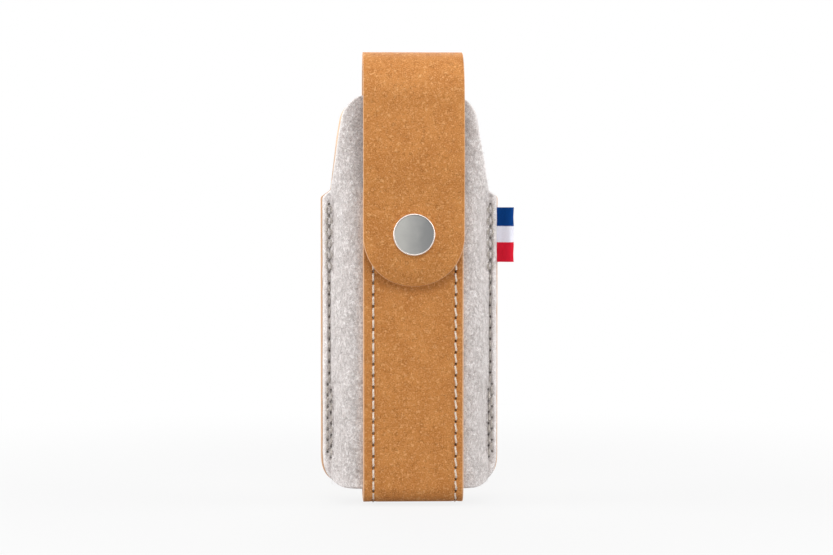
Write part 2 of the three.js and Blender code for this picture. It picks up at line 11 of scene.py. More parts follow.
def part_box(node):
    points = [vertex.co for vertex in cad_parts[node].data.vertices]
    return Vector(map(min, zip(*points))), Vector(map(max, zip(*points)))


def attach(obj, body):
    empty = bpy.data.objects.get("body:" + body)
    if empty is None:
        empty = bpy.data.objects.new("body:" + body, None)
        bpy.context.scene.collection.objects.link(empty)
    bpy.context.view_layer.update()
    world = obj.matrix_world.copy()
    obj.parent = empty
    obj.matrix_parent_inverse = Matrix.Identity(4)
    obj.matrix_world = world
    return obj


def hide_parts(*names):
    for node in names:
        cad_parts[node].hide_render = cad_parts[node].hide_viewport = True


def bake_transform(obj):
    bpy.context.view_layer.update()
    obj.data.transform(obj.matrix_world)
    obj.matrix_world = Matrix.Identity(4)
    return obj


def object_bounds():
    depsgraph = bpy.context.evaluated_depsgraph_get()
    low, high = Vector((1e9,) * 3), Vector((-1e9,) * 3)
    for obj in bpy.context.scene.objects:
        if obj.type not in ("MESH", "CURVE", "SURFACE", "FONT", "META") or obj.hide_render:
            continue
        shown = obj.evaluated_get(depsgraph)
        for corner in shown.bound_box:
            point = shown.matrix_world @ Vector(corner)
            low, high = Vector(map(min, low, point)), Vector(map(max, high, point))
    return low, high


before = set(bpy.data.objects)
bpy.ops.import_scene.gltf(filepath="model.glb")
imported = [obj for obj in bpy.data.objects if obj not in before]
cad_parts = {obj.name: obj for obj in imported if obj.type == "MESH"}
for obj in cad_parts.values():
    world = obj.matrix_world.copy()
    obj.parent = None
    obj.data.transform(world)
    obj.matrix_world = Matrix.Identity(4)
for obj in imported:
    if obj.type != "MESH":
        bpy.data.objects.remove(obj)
cad_low, cad_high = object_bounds()

MM = 0.001

# Sizes in millimetres that the frame's boxes don't give: strap and flap
STRAP_THICKNESS = 1.6
STRAP_FRONT_TOP = 29.0
STRAP_EDGE_ROUND = 0.3
PALE_EDGE = 0.45
FOLD_RADIUS = 5.0
LOOP_GAP = 5.0
LOOP_HALF = 25.0
LOOP_RAMP = 9.0
TONGUE_BOW = 1.0
TIP_LEAN = 2.3
STRAP_SEAM_INSET = 2.7
STRAP_ROW_SHIFT = 0.35
STRAP_TROUGH_DEPTH = 0.14
STRAP_TROUGH_HALF = 0.75
STRAP_HOLE_RADIUS = 0.48
STRAP_HOLE_DEPTH = 0.4
FOLD_STITCH_SINK = 0.3
FOLD_STITCH_EASE = 5.0

# Panels of the pouch
PANEL_CORNER = 9.4
SHOULDER_HEIGHT = 27.6
SHOULDER_STEP = 2.6
SHOULDER_RISE = 2.0
SHOULDER_ROUND = 1.0
MOUTH_HALF = 19.2
MOUTH_CORNER = 8.5
FELT_THICKNESS = 3.0
FELT_AT_EDGE = 2.3
FELT_EDGE_ROUND = 0.7
BACK_THICKNESS = 1.6
BACK_EDGE_ROUND = 0.3
BACK_EDGE_PALE = 0.6
BACK_EDGE_FADE = 0.2
FLANGE_FALL = 1.5
# Painted highlight along the felt's rim: its width and fade, and the height above the foot at which it
# starts
RIM_WIDTH = 1.5
RIM_FADE = 1.2
RIM_FOOT = 3.0
RIM_FOOT_FADE = 5.0
FUZZ_INSET = 2.2
FUZZ_FADE = 0.8
PANEL_SHIFT = 0.6
BACK_SHIFT = 0.12
NECK_SHIFT = 0.5
BACK_NECK_SHIFT = 0.85
NECK_EASE = 18.0

# Side seams
STITCH_PITCH = 3.42
SEAM_INSET = 2.05
SEAM_JOIN = 0.65
SEAM_TOP = 25.4
SEAM_FOOT = -51.0
SEAM_END = 3.0
GROOVE_DEPTH = 0.5
BACK_GROOVE_DEPTH = 0.15
BACKTACK_TOP = 22.0
BACKTACK_FOOT = 19.0
TACK_TOP_DEPTH = 0.4
TACK_FOOT_DEPTH = 0.4
TACK_BOW = 0.85
FOOT_BOW = 0.15
FOOT_SPREAD = 0.5
TACK_REACH = 1.35
PANEL_HOLE = (0.45, 0.5)
FELT_HOLE_DEPTH = 0.5
HOLE_REACH = 1.5
ROW_STEP = STITCH_PITCH / 8

# Ribbon
RIBBON_THICKNESS = 0.4
RIBBON_FOLD = 1.3
RIBBON_LAYER = 0.25

# Shares and slopes: how strongly the strap's pale cut edge and the painted highlight on it are laid
# on, how flat the felt stays at the mouth, how square the foot's corners are (2 is round), and
# how steeply held felt rises from its stitches
STRAP_EDGE_PALE = 0.52
MOUTH_FLATNESS = 0.6
CORNER_SQUARENESS = 2.6
TACK_SLOPE = 3.0

# A share of each quarter of the flap's arch, at which points beside the crown are found
BEND_SHARE = 0.85

# Lumps in the felt, as (size, height): out of its face twice, and across it
FELT_LUMPS = ((5.0, 0.16), (1.6, 0.06))
FELT_SIDE_LUMPS = (4.0, 0.1)

TINY = 1e-6


def node_box(node):
    """The lowest and highest corner of a CAD node, in millimetres."""
    low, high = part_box(node)
    return np.array(low) / MM, np.array(high) / MM


strap_low, strap_high = node_box("strap")
crown_high = node_box("flap_crown")[1]
tongue_low = node_box("flap_tongue")[0]
felt_low, felt_high = node_box("front_felt_panel")
back_low, back_high = node_box("back_panel")
cap_low, cap_high = node_box("snap_cap")
stud_low, stud_high = node_box("snap_stud")
socket_low, socket_high = node_box("snap_socket")
ribbon_low, ribbon_high = node_box("ribbon_tab")

STRAP_HALF = strap_high[0]
STRAP_SEAM = STRAP_HALF - STRAP_SEAM_INSET
PANEL_HALF = felt_high[0]
SEAM_X = PANEL_HALF - SEAM_INSET
SNAP_HEIGHT = (cap_low[2] + cap_high[2]) / 2
BACK_RUN_OUT = strap_high[1] - LOOP_GAP
BACK_RUN_MID = BACK_RUN_OUT - STRAP_THICKNESS / 2


def srgb(red, green, blue):
    """A colour given as 0 to 255, as the linear values that a shader takes."""
    shares = [value / 255 for value in (red, green, blue)]
    return tuple(s / 12.92 if s <= 0.04045 else ((s + 0.055) / 1.055) ** 2.4 for s in shares) + (1.0,)


def ramp(value, start, length):
    """Rises from 0 at the start to 1 over the length."""
    return np.clip((value - start) / length, 0, 1)


# Meshes


def add_object(name, data):
    """A new object in the scene."""
    added = bpy.data.objects.new(name, data)
    bpy.context.scene.collection.objects.link(added)
    return added


def new_piece(name, points, faces, uv=None, masks=None, sharp_degrees=50):
    """A smooth mesh from points in millimetres; uv (metres) and masks are given for each point."""
    mesh = bpy.data.meshes.new(name)
    mesh.from_pydata((np.asarray(points) * MM).tolist(), [], faces)
    loop_points = np.empty(len(mesh.loops), dtype=np.int32)
    mesh.loops.foreach_get("vertex_index", loop_points)
    if uv is not None:
        layer = mesh.uv_layers.new(name="sheet")
        layer.data.foreach_set("uv", np.asarray(uv, dtype=np.float32)[loop_points].ravel())
    for mask, values in (masks or {}).items():
        attribute = mesh.attributes.new(mask, "FLOAT", "POINT")
        attribute.data.foreach_set("value", np.asarray(values, dtype=np.float32))
    shape = bmesh.new()
    shape.from_mesh(mesh)
    bmesh.ops.remove_doubles(shape, verts=shape.verts, dist=TINY)
    open_edges = [edge for edge in shape.edges if edge.is_boundary]
    bmesh.ops.holes_fill(shape, edges=open_edges)
    bmesh.ops.recalc_face_normals(shape, faces=shape.faces)
    shape.to_mesh(mesh)
    shape.free()
    mesh.shade_smooth()
    mesh.set_sharp_from_angle(angle=math.radians(sharp_degrees))
    return add_object(name, mesh)


def grid_faces(rows, columns):
    """Quads of an open grid whose points are listed row by row."""
    return [
        (r * columns + c, r * columns + c + 1, (r + 1) * columns + c + 1, (r + 1) * columns + c)
        for r in range(rows - 1)
        for c in range(columns - 1)
    ]


def arc(centre, radius, start, stop):
    """Points every degree or so on an arc in a plane, with angles in degrees."""
    steps = max(3, int(abs(stop - start)) + 1)
    angles = np.radians(np.linspace(start, stop, steps))
    return np.stack([centre[0] + radius * np.cos(angles), centre[1] + radius * np.sin(angles)], axis=1)


def bezier(first, handle, other_handle, last, steps):
    """Points on a cubic curve in a plane."""
    t = np.linspace(0, 1, steps)[:, None]
    ends = (1 - t) ** 3 * np.array(first) + t**3 * np.array(last)
    middle = 3 * (1 - t) ** 2 * t * np.array(handle) + 3 * (1 - t) * t**2 * np.array(other_handle)
    return ends + middle


def filleted(corners):
    """Rounds each corner (x, y, radius) of an open line."""
    line = [np.array([corners[0][:2]])]
    for before, (x, y, radius), after in zip(corners, corners[1:], corners[2:]):
        point = np.array([x, y])
        back = np.array(before[:2]) - point
        on = np.array(after[:2]) - point
        back /= np.linalg.norm(back)
        on /= np.linalg.norm(on)
        half = math.acos(np.clip(back @ on, -1, 1)) / 2
        middle = (back + on) / np.linalg.norm(back + on)
        centre = point + middle * radius / math.sin(half)
        first = point + back * radius / math.tan(half) - centre
        final = point + on * radius / math.tan(half) - centre
        start = math.degrees(math.atan2(first[1], first[0]))
        sweep = math.degrees(math.atan2(first[0] * final[1] - first[1] * final[0], first @ final))
        line.append(arc(centre, radius, start, start + sweep))
    line.append(np.array([corners[-1][:2]]))
    return np.concatenate(line)


class MeasuredLine:
    """A line in a plane, read by the distance along it."""

    def __init__(self, *stretches):
        points = np.concatenate(stretches)
        steps = np.linalg.norm(np.diff(points, axis=0), axis=1)
        kept = np.concatenate([[True], steps > TINY])
        self.points = points[kept]
        self.reach = np.concatenate([[0], np.cumsum(steps[kept[1:]])])
        self.length = self.reach[-1]

    def place(self, distance):
        columns = [np.interp(distance, self.reach, self.points[:, i]) for i in (0, 1)]
        return np.stack(columns, axis=-1)

    def along(self, distance):
        nearby = 0.2
        step = self.place(np.asarray(distance) + nearby) - self.place(np.asarray(distance) - nearby)
        return step / np.linalg.norm(step, axis=-1, keepdims=True)

    def outward(self, distance):
        along = self.along(distance)
        return np.stack([along[..., 1], -along[..., 0]], axis=-1)

    def reach_of(self, column, value):
        """The first distance at which a coordinate reaches a value."""
        found = np.argmax(self.points[:, column] >= value)
        return self.reach[found]


def bump_field(points, size, height):
    """Soft lumps of about the given size on points in millimetres."""
    return np.array([height * noise.noise(Vector(point) / size) for point in points])


def dent(across, along, half_width, half_length):
    """A soft round dent, 1 in its middle."""
    return np.exp(-((across / half_width) ** 2) - (along / half_length) ** 2)


# Shader and geometry nodes


class Nodes:
    """Adds nodes to a tree; an input is given as a value or as the socket to link to it."""

    def __init__(self, tree):
        self.tree = tree

    def add(self, kind, inputs=None, **settings):
        node = self.tree.nodes.new(kind)
        for name, value in settings.items():
            setattr(node, name, value)
        for name, value in (inputs or {}).items():
            self.put(self.socket(node, name), value)
        return node

    def out(self, kind, inputs=None, **settings):
        """Adds a node and gives its first output."""
        return self.add(kind, inputs, **settings).outputs[0]

    def socket(self, node, name):
        if isinstance(name, int):
            return node.inputs[name]
        shown = [s for s in node.inputs if s.name == name and s.enabled]
        return shown[0]

    def put(self, socket, value):
        if isinstance(value, bpy.types.NodeSocket):
            self.tree.links.new(value, socket)
        else:
            socket.default_value = value

    def math(self, operation, first, second=0.0, third=0.0):
        return self.out("ShaderNodeMath", {0: first, 1: second, 2: third}, operation=operation)

    def between(self, value, low, high, to_low=0.0, to_high=1.0):
        inputs = {"Value": value, "From Min": low, "From Max": high, "To Min": to_low, "To Max": to_high}
        return self.out("ShaderNodeMapRange", inputs, interpolation_type="SMOOTHSTEP")

    def mix(self, share, first, second, blend="MIX"):
        node = self.add("ShaderNodeMix", data_type="RGBA", blend_type=blend)
        for name, value in (("Factor", share), ("A", first), ("B", second)):
            self.put(self.socket(node, name), value)
        return next(out for out in node.outputs if out.enabled)

    def layers(self, colour, *layers):
        """A colour with tints laid over it, each where a texture lies between two values."""
        for texture, low, high, to_low, to_high, tint in layers:
            share = self.between(texture, low, high, to_low, to_high)
            colour = self.mix(share, colour, srgb(*tint))
        return colour

    def tints(self, colour, *tints):
        """A colour with tints laid over it, each by a share of one of the mesh's masks."""
        for mask, share, tint in tints:
            amount = self.math("MULTIPLY", self.attribute(mask), share)
            colour = self.mix(amount, colour, srgb(*tint))
        return colour

    def attribute(self, name):
        return self.add("ShaderNodeAttribute", attribute_name=name).outputs["Fac"]

    def noise(self, vector, scale, detail=3.0, roughness=0.5, distortion=0.0):
        inputs = {"Vector": vector, "Scale": scale, "Detail": detail}
        inputs |= {"Roughness": roughness, "Distortion": distortion}
        return self.add("ShaderNodeTexNoise", inputs).outputs["Fac"]

    def stretched(self, vector, turn, scale):
        """A vector whose texture is turned, and drawn out by the scale along the turned axes."""
        inputs = {"Vector": vector, "Rotation": turn, "Scale": scale}
        return self.out("ShaderNodeMapping", inputs, vector_type="TEXTURE")


def group(name, inputs, outputs, family="ShaderNodeTree"):
    """A node tree with named sockets; gives it with its node adder and the sockets of its inputs."""
    tree = bpy.data.node_groups.new(name, family)
    for label, kind, value in inputs:
        socket = tree.interface.new_socket(label, in_out="INPUT", socket_type="NodeSocket" + kind)
        if value is not None:
            socket.default_value = value
    for label, kind in outputs:
        tree.interface.new_socket(label, in_out="OUTPUT", socket_type="NodeSocket" + kind)
    nodes = Nodes(tree)
    return tree, nodes, nodes.add("NodeGroupInput").outputs


def fibre_tangle_group():
    """Short fibres lying every way across x and y: a value for colour and a height for relief."""
    tree, nodes, given = group(
        "fibre_tangle",
        [("Vector", "Vector", None), ("Fibres per metre", "Float", 600.0), ("Curl", "Float", 0.6)],
        [("Value", "Float"), ("Height", "Float")],
    )
    layers = []
    for turn in (0.35, 1.4, 2.45):
        lying = nodes.stretched(given["Vector"], (0.0, 0.0, turn), (1.0, 5.0, 1.0))
        fibres = nodes.noise(lying, given["Fibres per metre"], 2.0, 0.6, given["Curl"])
        layers.append(nodes.between(fibres, 0.35, 0.65))
    highest = nodes.math("MAXIMUM", nodes.math("MAXIMUM", layers[0], layers[1]), layers[2])
    total = nodes.math("ADD", nodes.math("ADD", layers[0], layers[1]), layers[2])
    mean = nodes.math("MULTIPLY", total, 1 / 3)
    nodes.add("NodeGroupOutput", {"Value": mean, "Height": nodes.math("ADD", mean, highest)})
    return tree


def needle_hole_group():
    """Paints the surface dark where the needle went through, as shade in the hole, and presses it down
    there.
    """
    tree, nodes, given = group(
        "needle_hole",
        [("Colour", "Color", None), ("Hole", "Color", None), ("Mask", "Float", 0.0)],
        [("Colour", "Color"), ("Height", "Float")],
    )
    dark = nodes.between(given["Mask"], 0.35, 0.8)
    colour = nodes.mix(dark, given["Colour"], given["Hole"])
    nodes.add("NodeGroupOutput", {"Colour": colour, "Height": nodes.math("MULTIPLY", dark, -1.0)})
    return tree


fibre_tangle = fibre_tangle_group()
needle_hole = needle_hole_group()


def new_material(name):
    """A material with a Principled shader; gives it with its node adder and the shader."""
    material = bpy.data.materials.new(name)
    material.use_nodes = True
    material.node_tree.nodes.clear()
    nodes = Nodes(material.node_tree)
    shader = nodes.add("ShaderNodeBsdfPrincipled")
    nodes.add("ShaderNodeOutputMaterial", {"Surface": shader.outputs[0]})
    return material, nodes, shader


def finish_material(nodes, shader, values, height, depth, strength):
    """Sets a shader's inputs and its relief, whose depth is in millimetres."""
    inputs = {"Height": height, "Distance": depth * MM, "Strength": strength}
    for name, value in {**values, "Normal": nodes.out("ShaderNodeBump", inputs)}.items():
        nodes.put(shader.inputs[name], value)


def use_group(nodes, tree, inputs):
    """Adds a node group and gives its outputs."""
    node = nodes.add("ShaderNodeGroup", node_tree=tree)
    for name, value in inputs.items():
        nodes.put(node.inputs[name], value)
    return node.outputs


def use_tangle(nodes, vector, fibres, curl):
    return use_group(nodes, fibre_tangle, {"Vector": vector, "Fibres per metre": fibres, "Curl": curl})


def use_holes(nodes, colour, hole):
    inputs = {"Colour": colour, "Hole": srgb(*hole), "Mask": nodes.attribute("needle")}
    return use_group(nodes, needle_hole, inputs)


def bonded_leather():
    """Tan leather pressed from fibres: light and dark flecks, a soft mottle, pale cut edges with a
    painted highlight along the strap's and flap's edges.
    """
    material, nodes, shader = new_material("bonded_leather")
    sheet = nodes.out("ShaderNodeUVMap", uv_map="sheet")
    tangle = use_tangle(nodes, sheet, 1700.0, 1.6)
    mottle = nodes.noise(sheet, 170.0, 4.0, 0.6, 0.4)
    flakes = nodes.noise(sheet, 1000.0, 3.0, 0.6, 0.5)
    patches = nodes.noise(sheet, 620.0, 3.0, 0.6, 0.8)
    grain = nodes.noise(sheet, 2600.0, 3.0, 0.65)
    body = nodes.layers(
        srgb(190, 122, 60),
        (mottle, 0.3, 0.72, 0.0, 1.0, (204, 136, 71)),
        (patches, 0.3, 0.48, 0.6, 0.0, (162, 98, 42)),
        (flakes, 0.53, 0.68, 0.0, 0.62, (232, 178, 116)),
        (grain, 0.54, 0.66, 0.0, 0.55, (238, 190, 130)),
        (grain, 0.32, 0.45, 0.7, 0.0, (132, 80, 36)),
    )
    # Pale cut edges; on the strap and flap the pale band along each edge is partly a painted highlight.
    # The flesh side is paler.
    toned = nodes.tints(body, ("cut_edge_and_highlight", 0.8, (238, 212, 186)), ("flesh_side", 0.6, (190, 140, 98)))
    # Painted shade: needle holes in the leather are coloured dark brown
    holes = use_holes(nodes, toned, (40, 22, 10))
    relief = nodes.math("MULTIPLY_ADD", grain, 0.6, nodes.math("MULTIPLY", tangle["Height"], 0.25))
    relief = nodes.math("ADD", relief, nodes.math("MULTIPLY", holes["Height"], 1.5))
    values = {
        "Base Color": holes["Colour"],
        "Roughness": nodes.between(grain, 0.3, 0.7, 0.55, 0.72),
        "Specular IOR Level": 0.2,
    }
    finish_material(nodes, shader, values, relief, 0.06, 0.8)
    return material


def wool_felt():
    """Pale grey felt with lighter and darker wool in it, painted darker as shade in the seam grooves and
    painted with a highlight along its rim.
    """
    material, nodes, shader = new_material("wool_felt")
    place = nodes.add("ShaderNodeTexCoord").outputs["Object"]
    front = nodes.stretched(place, (math.pi / 2, 0.0, 0.0), (1.0, 1.0, 1.0))
    coarse = use_tangle(nodes, front, 1500.0, 2.2)
    fine = use_tangle(nodes, front, 3800.0, 1.5)
    cloud = nodes.noise(place, 190.0, 3.0, 0.55, 0.5)
    tufts = nodes.noise(place, 1100.0, 3.0, 0.6, 0.6)
    specks = nodes.noise(place, 2600.0, 2.0, 0.6)
    wool = nodes.layers(
        srgb(209, 201, 198),
        (cloud, 0.3, 0.7, 0.0, 1.0, (228, 221, 219)),
        (tufts, 0.32, 0.52, 0.75, 0.0, (180, 170, 167)),
        (tufts, 0.54, 0.68, 0.0, 0.8, (253, 251, 250)),
        (coarse["Value"], 0.34, 0.56, 0.7, 0.0, (172, 162, 159)),
        (specks, 0.3, 0.42, 0.7, 0.0, (150, 140, 136)),
        (fine["Value"], 0.58, 0.82, 0.0, 0.7, (253, 251, 250)),
    )
    # Painted shade darkens the seam grooves, and a painted highlight lightens the felt's rim
    wool = nodes.tints(wool, ("pressed", 0.4, (176, 167, 161)), ("cut_edge_and_highlight", 0.4, (252, 248, 246)))
    # Painted shade: needle holes in the felt are coloured dark grey-brown
    holes = use_holes(nodes, wool, (84, 74, 68))
    relief = nodes.math("MULTIPLY_ADD", fine["Height"], 0.5, coarse["Height"])
    relief = nodes.math("ADD", relief, tufts)
    values = {
        "Base Color": holes["Colour"],
        "Roughness": 0.95,
        "Specular IOR Level": 0.1,
        "Sheen Weight": 0.25,
        "Sheen Roughness": 0.6,
    }
    finish_material(nodes, shader, values, relief, 0.05, 0.8)
    return material


def sewing_thread(name, light, dark):
    """Twisted thread, a little uneven in colour."""
    material, nodes, shader = new_material(name)
    place = nodes.add("ShaderNodeTexCoord").outputs["Object"]
    tangle = use_tangle(nodes, place, 4000.0, 0.3)
    toned = nodes.between(nodes.noise(place, 260.0, 2.0), 0.2, 0.8, 0.6, 1.0)
    share = nodes.math("MULTIPLY", nodes.between(tangle["Value"], 0.3, 0.8), toned)
    colour = nodes.mix(share, srgb(*dark), srgb(*light))
    values = {"Base Color": colour, "Roughness": 0.7, "Sheen Weight": 0.3}
    finish_material(nodes, shader, values, tangle["Height"], 0.02, 0.7)
    return material


def satin_steel():
    """Nickel-plated steel: a satin face with fine lines across it and a painted reflection, lighter to
    the left and darker to the right, and polished rims.
    """
    material, nodes, shader = new_material("satin_steel")
    place = nodes.add("ShaderNodeTexCoord").outputs["Object"]
    polish = nodes.attribute("polished")
    # Painted reflection: the satin colour runs from lighter on the left to darker on the right, with a
    # cloudy border
    reflection_cloud = nodes.noise(place, 260.0, 4.0, 0.55)
    across = nodes.add("ShaderNodeSeparateXYZ", {"Vector": place}).outputs["X"]
    shade = nodes.math("MULTIPLY_ADD", reflection_cloud, 4.0 * MM, across)
    lines = nodes.noise(nodes.stretched(place, (0, 0, 0), (8.0, 1.0, 1.0)), 3600.0, 2.0)
    shade = nodes.between(shade, -3.0 * MM, 7.0 * MM)
    body = nodes.mix(shade, srgb(170, 169, 165), srgb(126, 127, 127))
    satin = nodes.between(lines, 0.3, 0.7, 0.34, 0.46)
    values = {
        "Base Color": nodes.mix(polish, body, srgb(222, 212, 206)),
        "Metallic": 1.0,
        "Roughness": nodes.math("MULTIPLY_ADD", polish, -0.1, satin),
    }
    finish_material(nodes, shader, values, lines, 0.01, 0.5)
    return material


def woven_ribbon():
    """Ribbon woven in three stripes, with fine ribs across it; u runs along it and v up it."""
    material, nodes, shader = new_material("woven_ribbon")
    sheet = nodes.out("ShaderNodeUVMap", uv_map="sheet")
    split = nodes.add("ShaderNodeSeparateXYZ", {"Vector": sheet}).outputs
    ragged = nodes.noise(nodes.stretched(sheet, (0, 0, 0), (1.0, 10.0, 1.0)), 3200.0, 2.0)
    height = nodes.math("MULTIPLY_ADD", nodes.math("SUBTRACT", ragged, 0.5), 0.35 * MM, split["Y"])
    red_top = 6.0 * MM
    white_top = 10.9 * MM
    blend = 0.12 * MM
    colour = nodes.layers(
        srgb(218, 32, 54),
        (height, red_top - blend, red_top + blend, 0.0, 1.0, (238, 237, 248)),
        (height, white_top - blend, white_top + blend, 0.0, 1.0, (10, 62, 130)),
    )
    rib, pick = 0.36 * MM, 0.3 * MM
    ribs = nodes.math("SINE", nodes.math("MULTIPLY", split["X"], 2 * math.pi / rib))
    picks = nodes.math("SINE", nodes.math("MULTIPLY", split["Y"], 2 * math.pi / pick))
    weave = nodes.math("MULTIPLY", ribs, picks)
    fleck = nodes.noise(sheet, 5200.0, 2.0)
    shade = nodes.between(nodes.math("MULTIPLY_ADD", fleck, 1.2, weave), -0.6, 1.6, 0.72, 1.12)
    shaded = nodes.mix(1.0, colour, shade, "MULTIPLY")
    values = {"Base Color": shaded, "Roughness": 0.75, "Specular IOR Level": 0.04}
    finish_material(nodes, shader, values, weave, 0.05, 0.6)
    return material


def geometry_tree(name, sizes):
    """A geometry node tree with named sizes and a material; gives it with its adder and inputs."""
    numbers = [(label, "Float", value) for label, value in sizes]
    inputs = [("Mesh", "Geometry", None), *numbers, ("Material", "Material", None)]
    return group(name, inputs, [("Mesh", "Geometry")], "GeometryNodeTree")


def close_tree(nodes, shape, material):
    """Ends a geometry tree: real, smooth faces with their material."""
    real = nodes.out("GeometryNodeRealizeInstances", {"Geometry": shape})
    smooth = nodes.out("GeometryNodeSetShadeSmooth", {"Geometry": real})
    finished = nodes.out("GeometryNodeSetMaterial", {"Geometry": smooth, "Material": material})
    nodes.add("NodeGroupOutput", {"Mesh": finished})


def run_tree(name, source, tree, values):
    """Runs a tree on an object and gives its result as a plain mesh object; the source is kept."""
    modifier = source.modifiers.new(tree.name, "NODES")
    modifier.node_group = tree
    for item in tree.interface.items_tree:
        if item.in_out == "INPUT" and item.name in values:
            modifier[item.identifier] = values[item.name]
    bpy.context.view_layer.update()
    evaluated = source.evaluated_get(bpy.context.evaluated_depsgraph_get())
    mesh = bpy.data.meshes.new_from_object(evaluated)
    source.modifiers.remove(modifier)
    mesh.name = name
    return add_object(name, mesh)


def stitch_row_tree():
    """Every line of points on the mesh becomes one twisted length of thread, which rises out of its
    hole, lies on the surface and dives into the next hole. The points hold their way up and bow,
    and a thread that bows is slack and looks thicker."""
    tree, nodes, given = geometry_tree("stitch_row", [
        ("Radius", 0.3 * MM),
        ("Rise", 0.15 * MM),
        ("Dive", 0.6 * MM),
        ("Twists", 3.0),
        ("Slack per metre", 420.0),
    ])
    lines = nodes.out("GeometryNodeMeshToCurve", {"Mesh": given["Mesh"]})
    lines = nodes.out("GeometryNodeResampleCurve", {"Curve": lines, "Count": 8})
    share = nodes.add("GeometryNodeSplineParameter").outputs["Factor"]
    swing = nodes.math("SINE", nodes.math("MULTIPLY", share, math.pi))
    crest = nodes.math("POWER", nodes.math("MAXIMUM", swing, 0.0), 0.4)
    whole = nodes.math("ADD", given["Rise"], given["Dive"])
    height = nodes.math("SUBTRACT", nodes.math("MULTIPLY", crest, whole), given["Dive"])
    up, bow = (
        nodes.out("GeometryNodeInputNamedAttribute", {"Name": name}, data_type="FLOAT_VECTOR")
        for name in ("up", "bow")
    )
    offsets = []
    for way, amount in ((up, height), (bow, swing)):
        scaled = nodes.add("ShaderNodeVectorMath", {0: way}, operation="SCALE")
        nodes.put(scaled.inputs["Scale"], amount)
        offsets.append(scaled.outputs[0])
    bow_size = nodes.add("ShaderNodeVectorMath", {0: bow}, operation="LENGTH").outputs["Value"]
    thicker = nodes.math("MULTIPLY_ADD", bow_size, given["Slack per metre"], 1.0)
    offset = nodes.out("ShaderNodeVectorMath", {0: offsets[0], 1: offsets[1]}, operation="ADD")
    risen = nodes.out("GeometryNodeSetPosition", {"Geometry": lines, "Offset": offset})
    turns = nodes.math("MULTIPLY", nodes.math("MULTIPLY", share, given["Twists"]), 2 * math.pi)
    twisted = nodes.out("GeometryNodeSetCurveTilt", {"Curve": risen, "Tilt": turns})
    ply = nodes.out("GeometryNodeCurvePrimitiveCircle", {"Resolution": 8, "Radius": given["Radius"]})
    two_ply = nodes.out("GeometryNodeTransform", {"Geometry": ply, "Scale": (1.1, 0.82, 1.0)})
    thread = nodes.out(
        "GeometryNodeCurveToMesh",
        {"Curve": twisted, "Profile Curve": two_ply, "Scale": thicker, "Fill Caps": True},
    )
    close_tree(nodes, thread, given["Material"])
    return tree


def loose_fibre_tree():
    """Short loose fibres that lie every way on the mesh, where its mask lets them."""
    tree, nodes, given = geometry_tree("loose_fibres", [
        ("Fibres per square metre", 2.2e6),
        ("Length", 2.0 * MM),
        ("Radius", 0.035 * MM),
        ("Seed", 7.0),
    ])
    allowed = nodes.out("GeometryNodeInputNamedAttribute", {"Name": "loose"}, data_type="FLOAT")
    density = nodes.math("MULTIPLY", allowed, given["Fibres per square metre"])
    roots = nodes.add(
        "GeometryNodeDistributePointsOnFaces",
        {"Mesh": given["Mesh"], "Density": density, "Seed": given["Seed"]},
    ).outputs
    bend = {"Resolution": 3}
    for name, along, across, up in (
        ("Start", 0.0, 0.0, -0.03),
        ("Start Handle", 0.3, 0.2, 0.08),
        ("End Handle", 0.7, -0.18, 0.06),
        ("End", 1.0, 0.1, 0.0),
    ):
        shares = {"X": along, "Y": across, "Z": up}
        parts = {axis: nodes.math("MULTIPLY", given["Length"], share) for axis, share in shares.items()}
        bend[name] = nodes.out("ShaderNodeCombineXYZ", parts)
    bent = nodes.out("GeometryNodeCurvePrimitiveBezierSegment", bend)
    profile = nodes.out("GeometryNodeCurvePrimitiveCircle", {"Resolution": 3, "Radius": given["Radius"]})
    fibre = nodes.out(
        "GeometryNodeCurveToMesh",
        {"Curve": bent, "Profile Curve": profile, "Fill Caps": False},
    )
    angle, size = (
        nodes.add(
            "FunctionNodeRandomValue",
            {"Min": least, "Max": most, "Seed": seed},
            data_type="FLOAT",
        ).outputs[1]
        for least, most, seed in ((0.0, 2 * math.pi, 11), (0.5, 1.4, 12))
    )
    turn = nodes.out("FunctionNodeAxisAngleToRotation", {"Axis": (0, 0, 1), "Angle": angle})
    lying = nodes.out(
        "FunctionNodeRotateRotation",
        {"Rotation": roots["Rotation"], "Rotate By": turn},
        rotation_space="LOCAL",
    )
    placed = nodes.out(
        "GeometryNodeInstanceOnPoints",
        {"Points": roots["Points"], "Instance": fibre, "Rotation": lying, "Scale": size},
    )
    close_tree(nodes, placed, given["Material"])
    return tree


leather = bonded_leather()
felt = wool_felt()
loose_wool = sewing_thread("loose_wool", (246, 243, 241), (214, 207, 204))
cream_thread = sewing_thread("cream_thread", (255, 246, 232), (248, 226, 204))
grey_thread = sewing_thread("grey_thread", (232, 224, 215), (178, 168, 159))
steel = satin_steel()
ribbon_cloth = woven_ribbon()
stitch_row = stitch_row_tree()
loose_fibres = loose_fibre_tree()


def grow(piece):
    """Loose fibres on a felt piece."""
    return run_tree(piece.name + "_fuzz", piece, loose_fibres, {"Material": loose_wool})


def dress(piece, material, body, slot, *nodes):
    """Gives a piece its material, the body that carries it and the nodes that it stands for."""
    piece.data.materials.clear()
    piece.data.materials.append(material)
    if body:
        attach(piece, body)
    if nodes:
        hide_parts(*nodes)
    return piece


# The leather's middle line: front run, fold, back run with the belt loop, arch, tongue

ARCH_RADIUS = (BACK_RUN_OUT - tongue_low[1]) / 2 - STRAP_THICKNESS / 2
ARCH_CENTRE = ((BACK_RUN_OUT + tongue_low[1]) / 2, crown_high[2] - STRAP_THICKNESS / 2 - ARCH_RADIUS)
LOOP_END = LOOP_HALF + LOOP_RAMP
LOOP_BAR = LOOP_END + SEAM_END


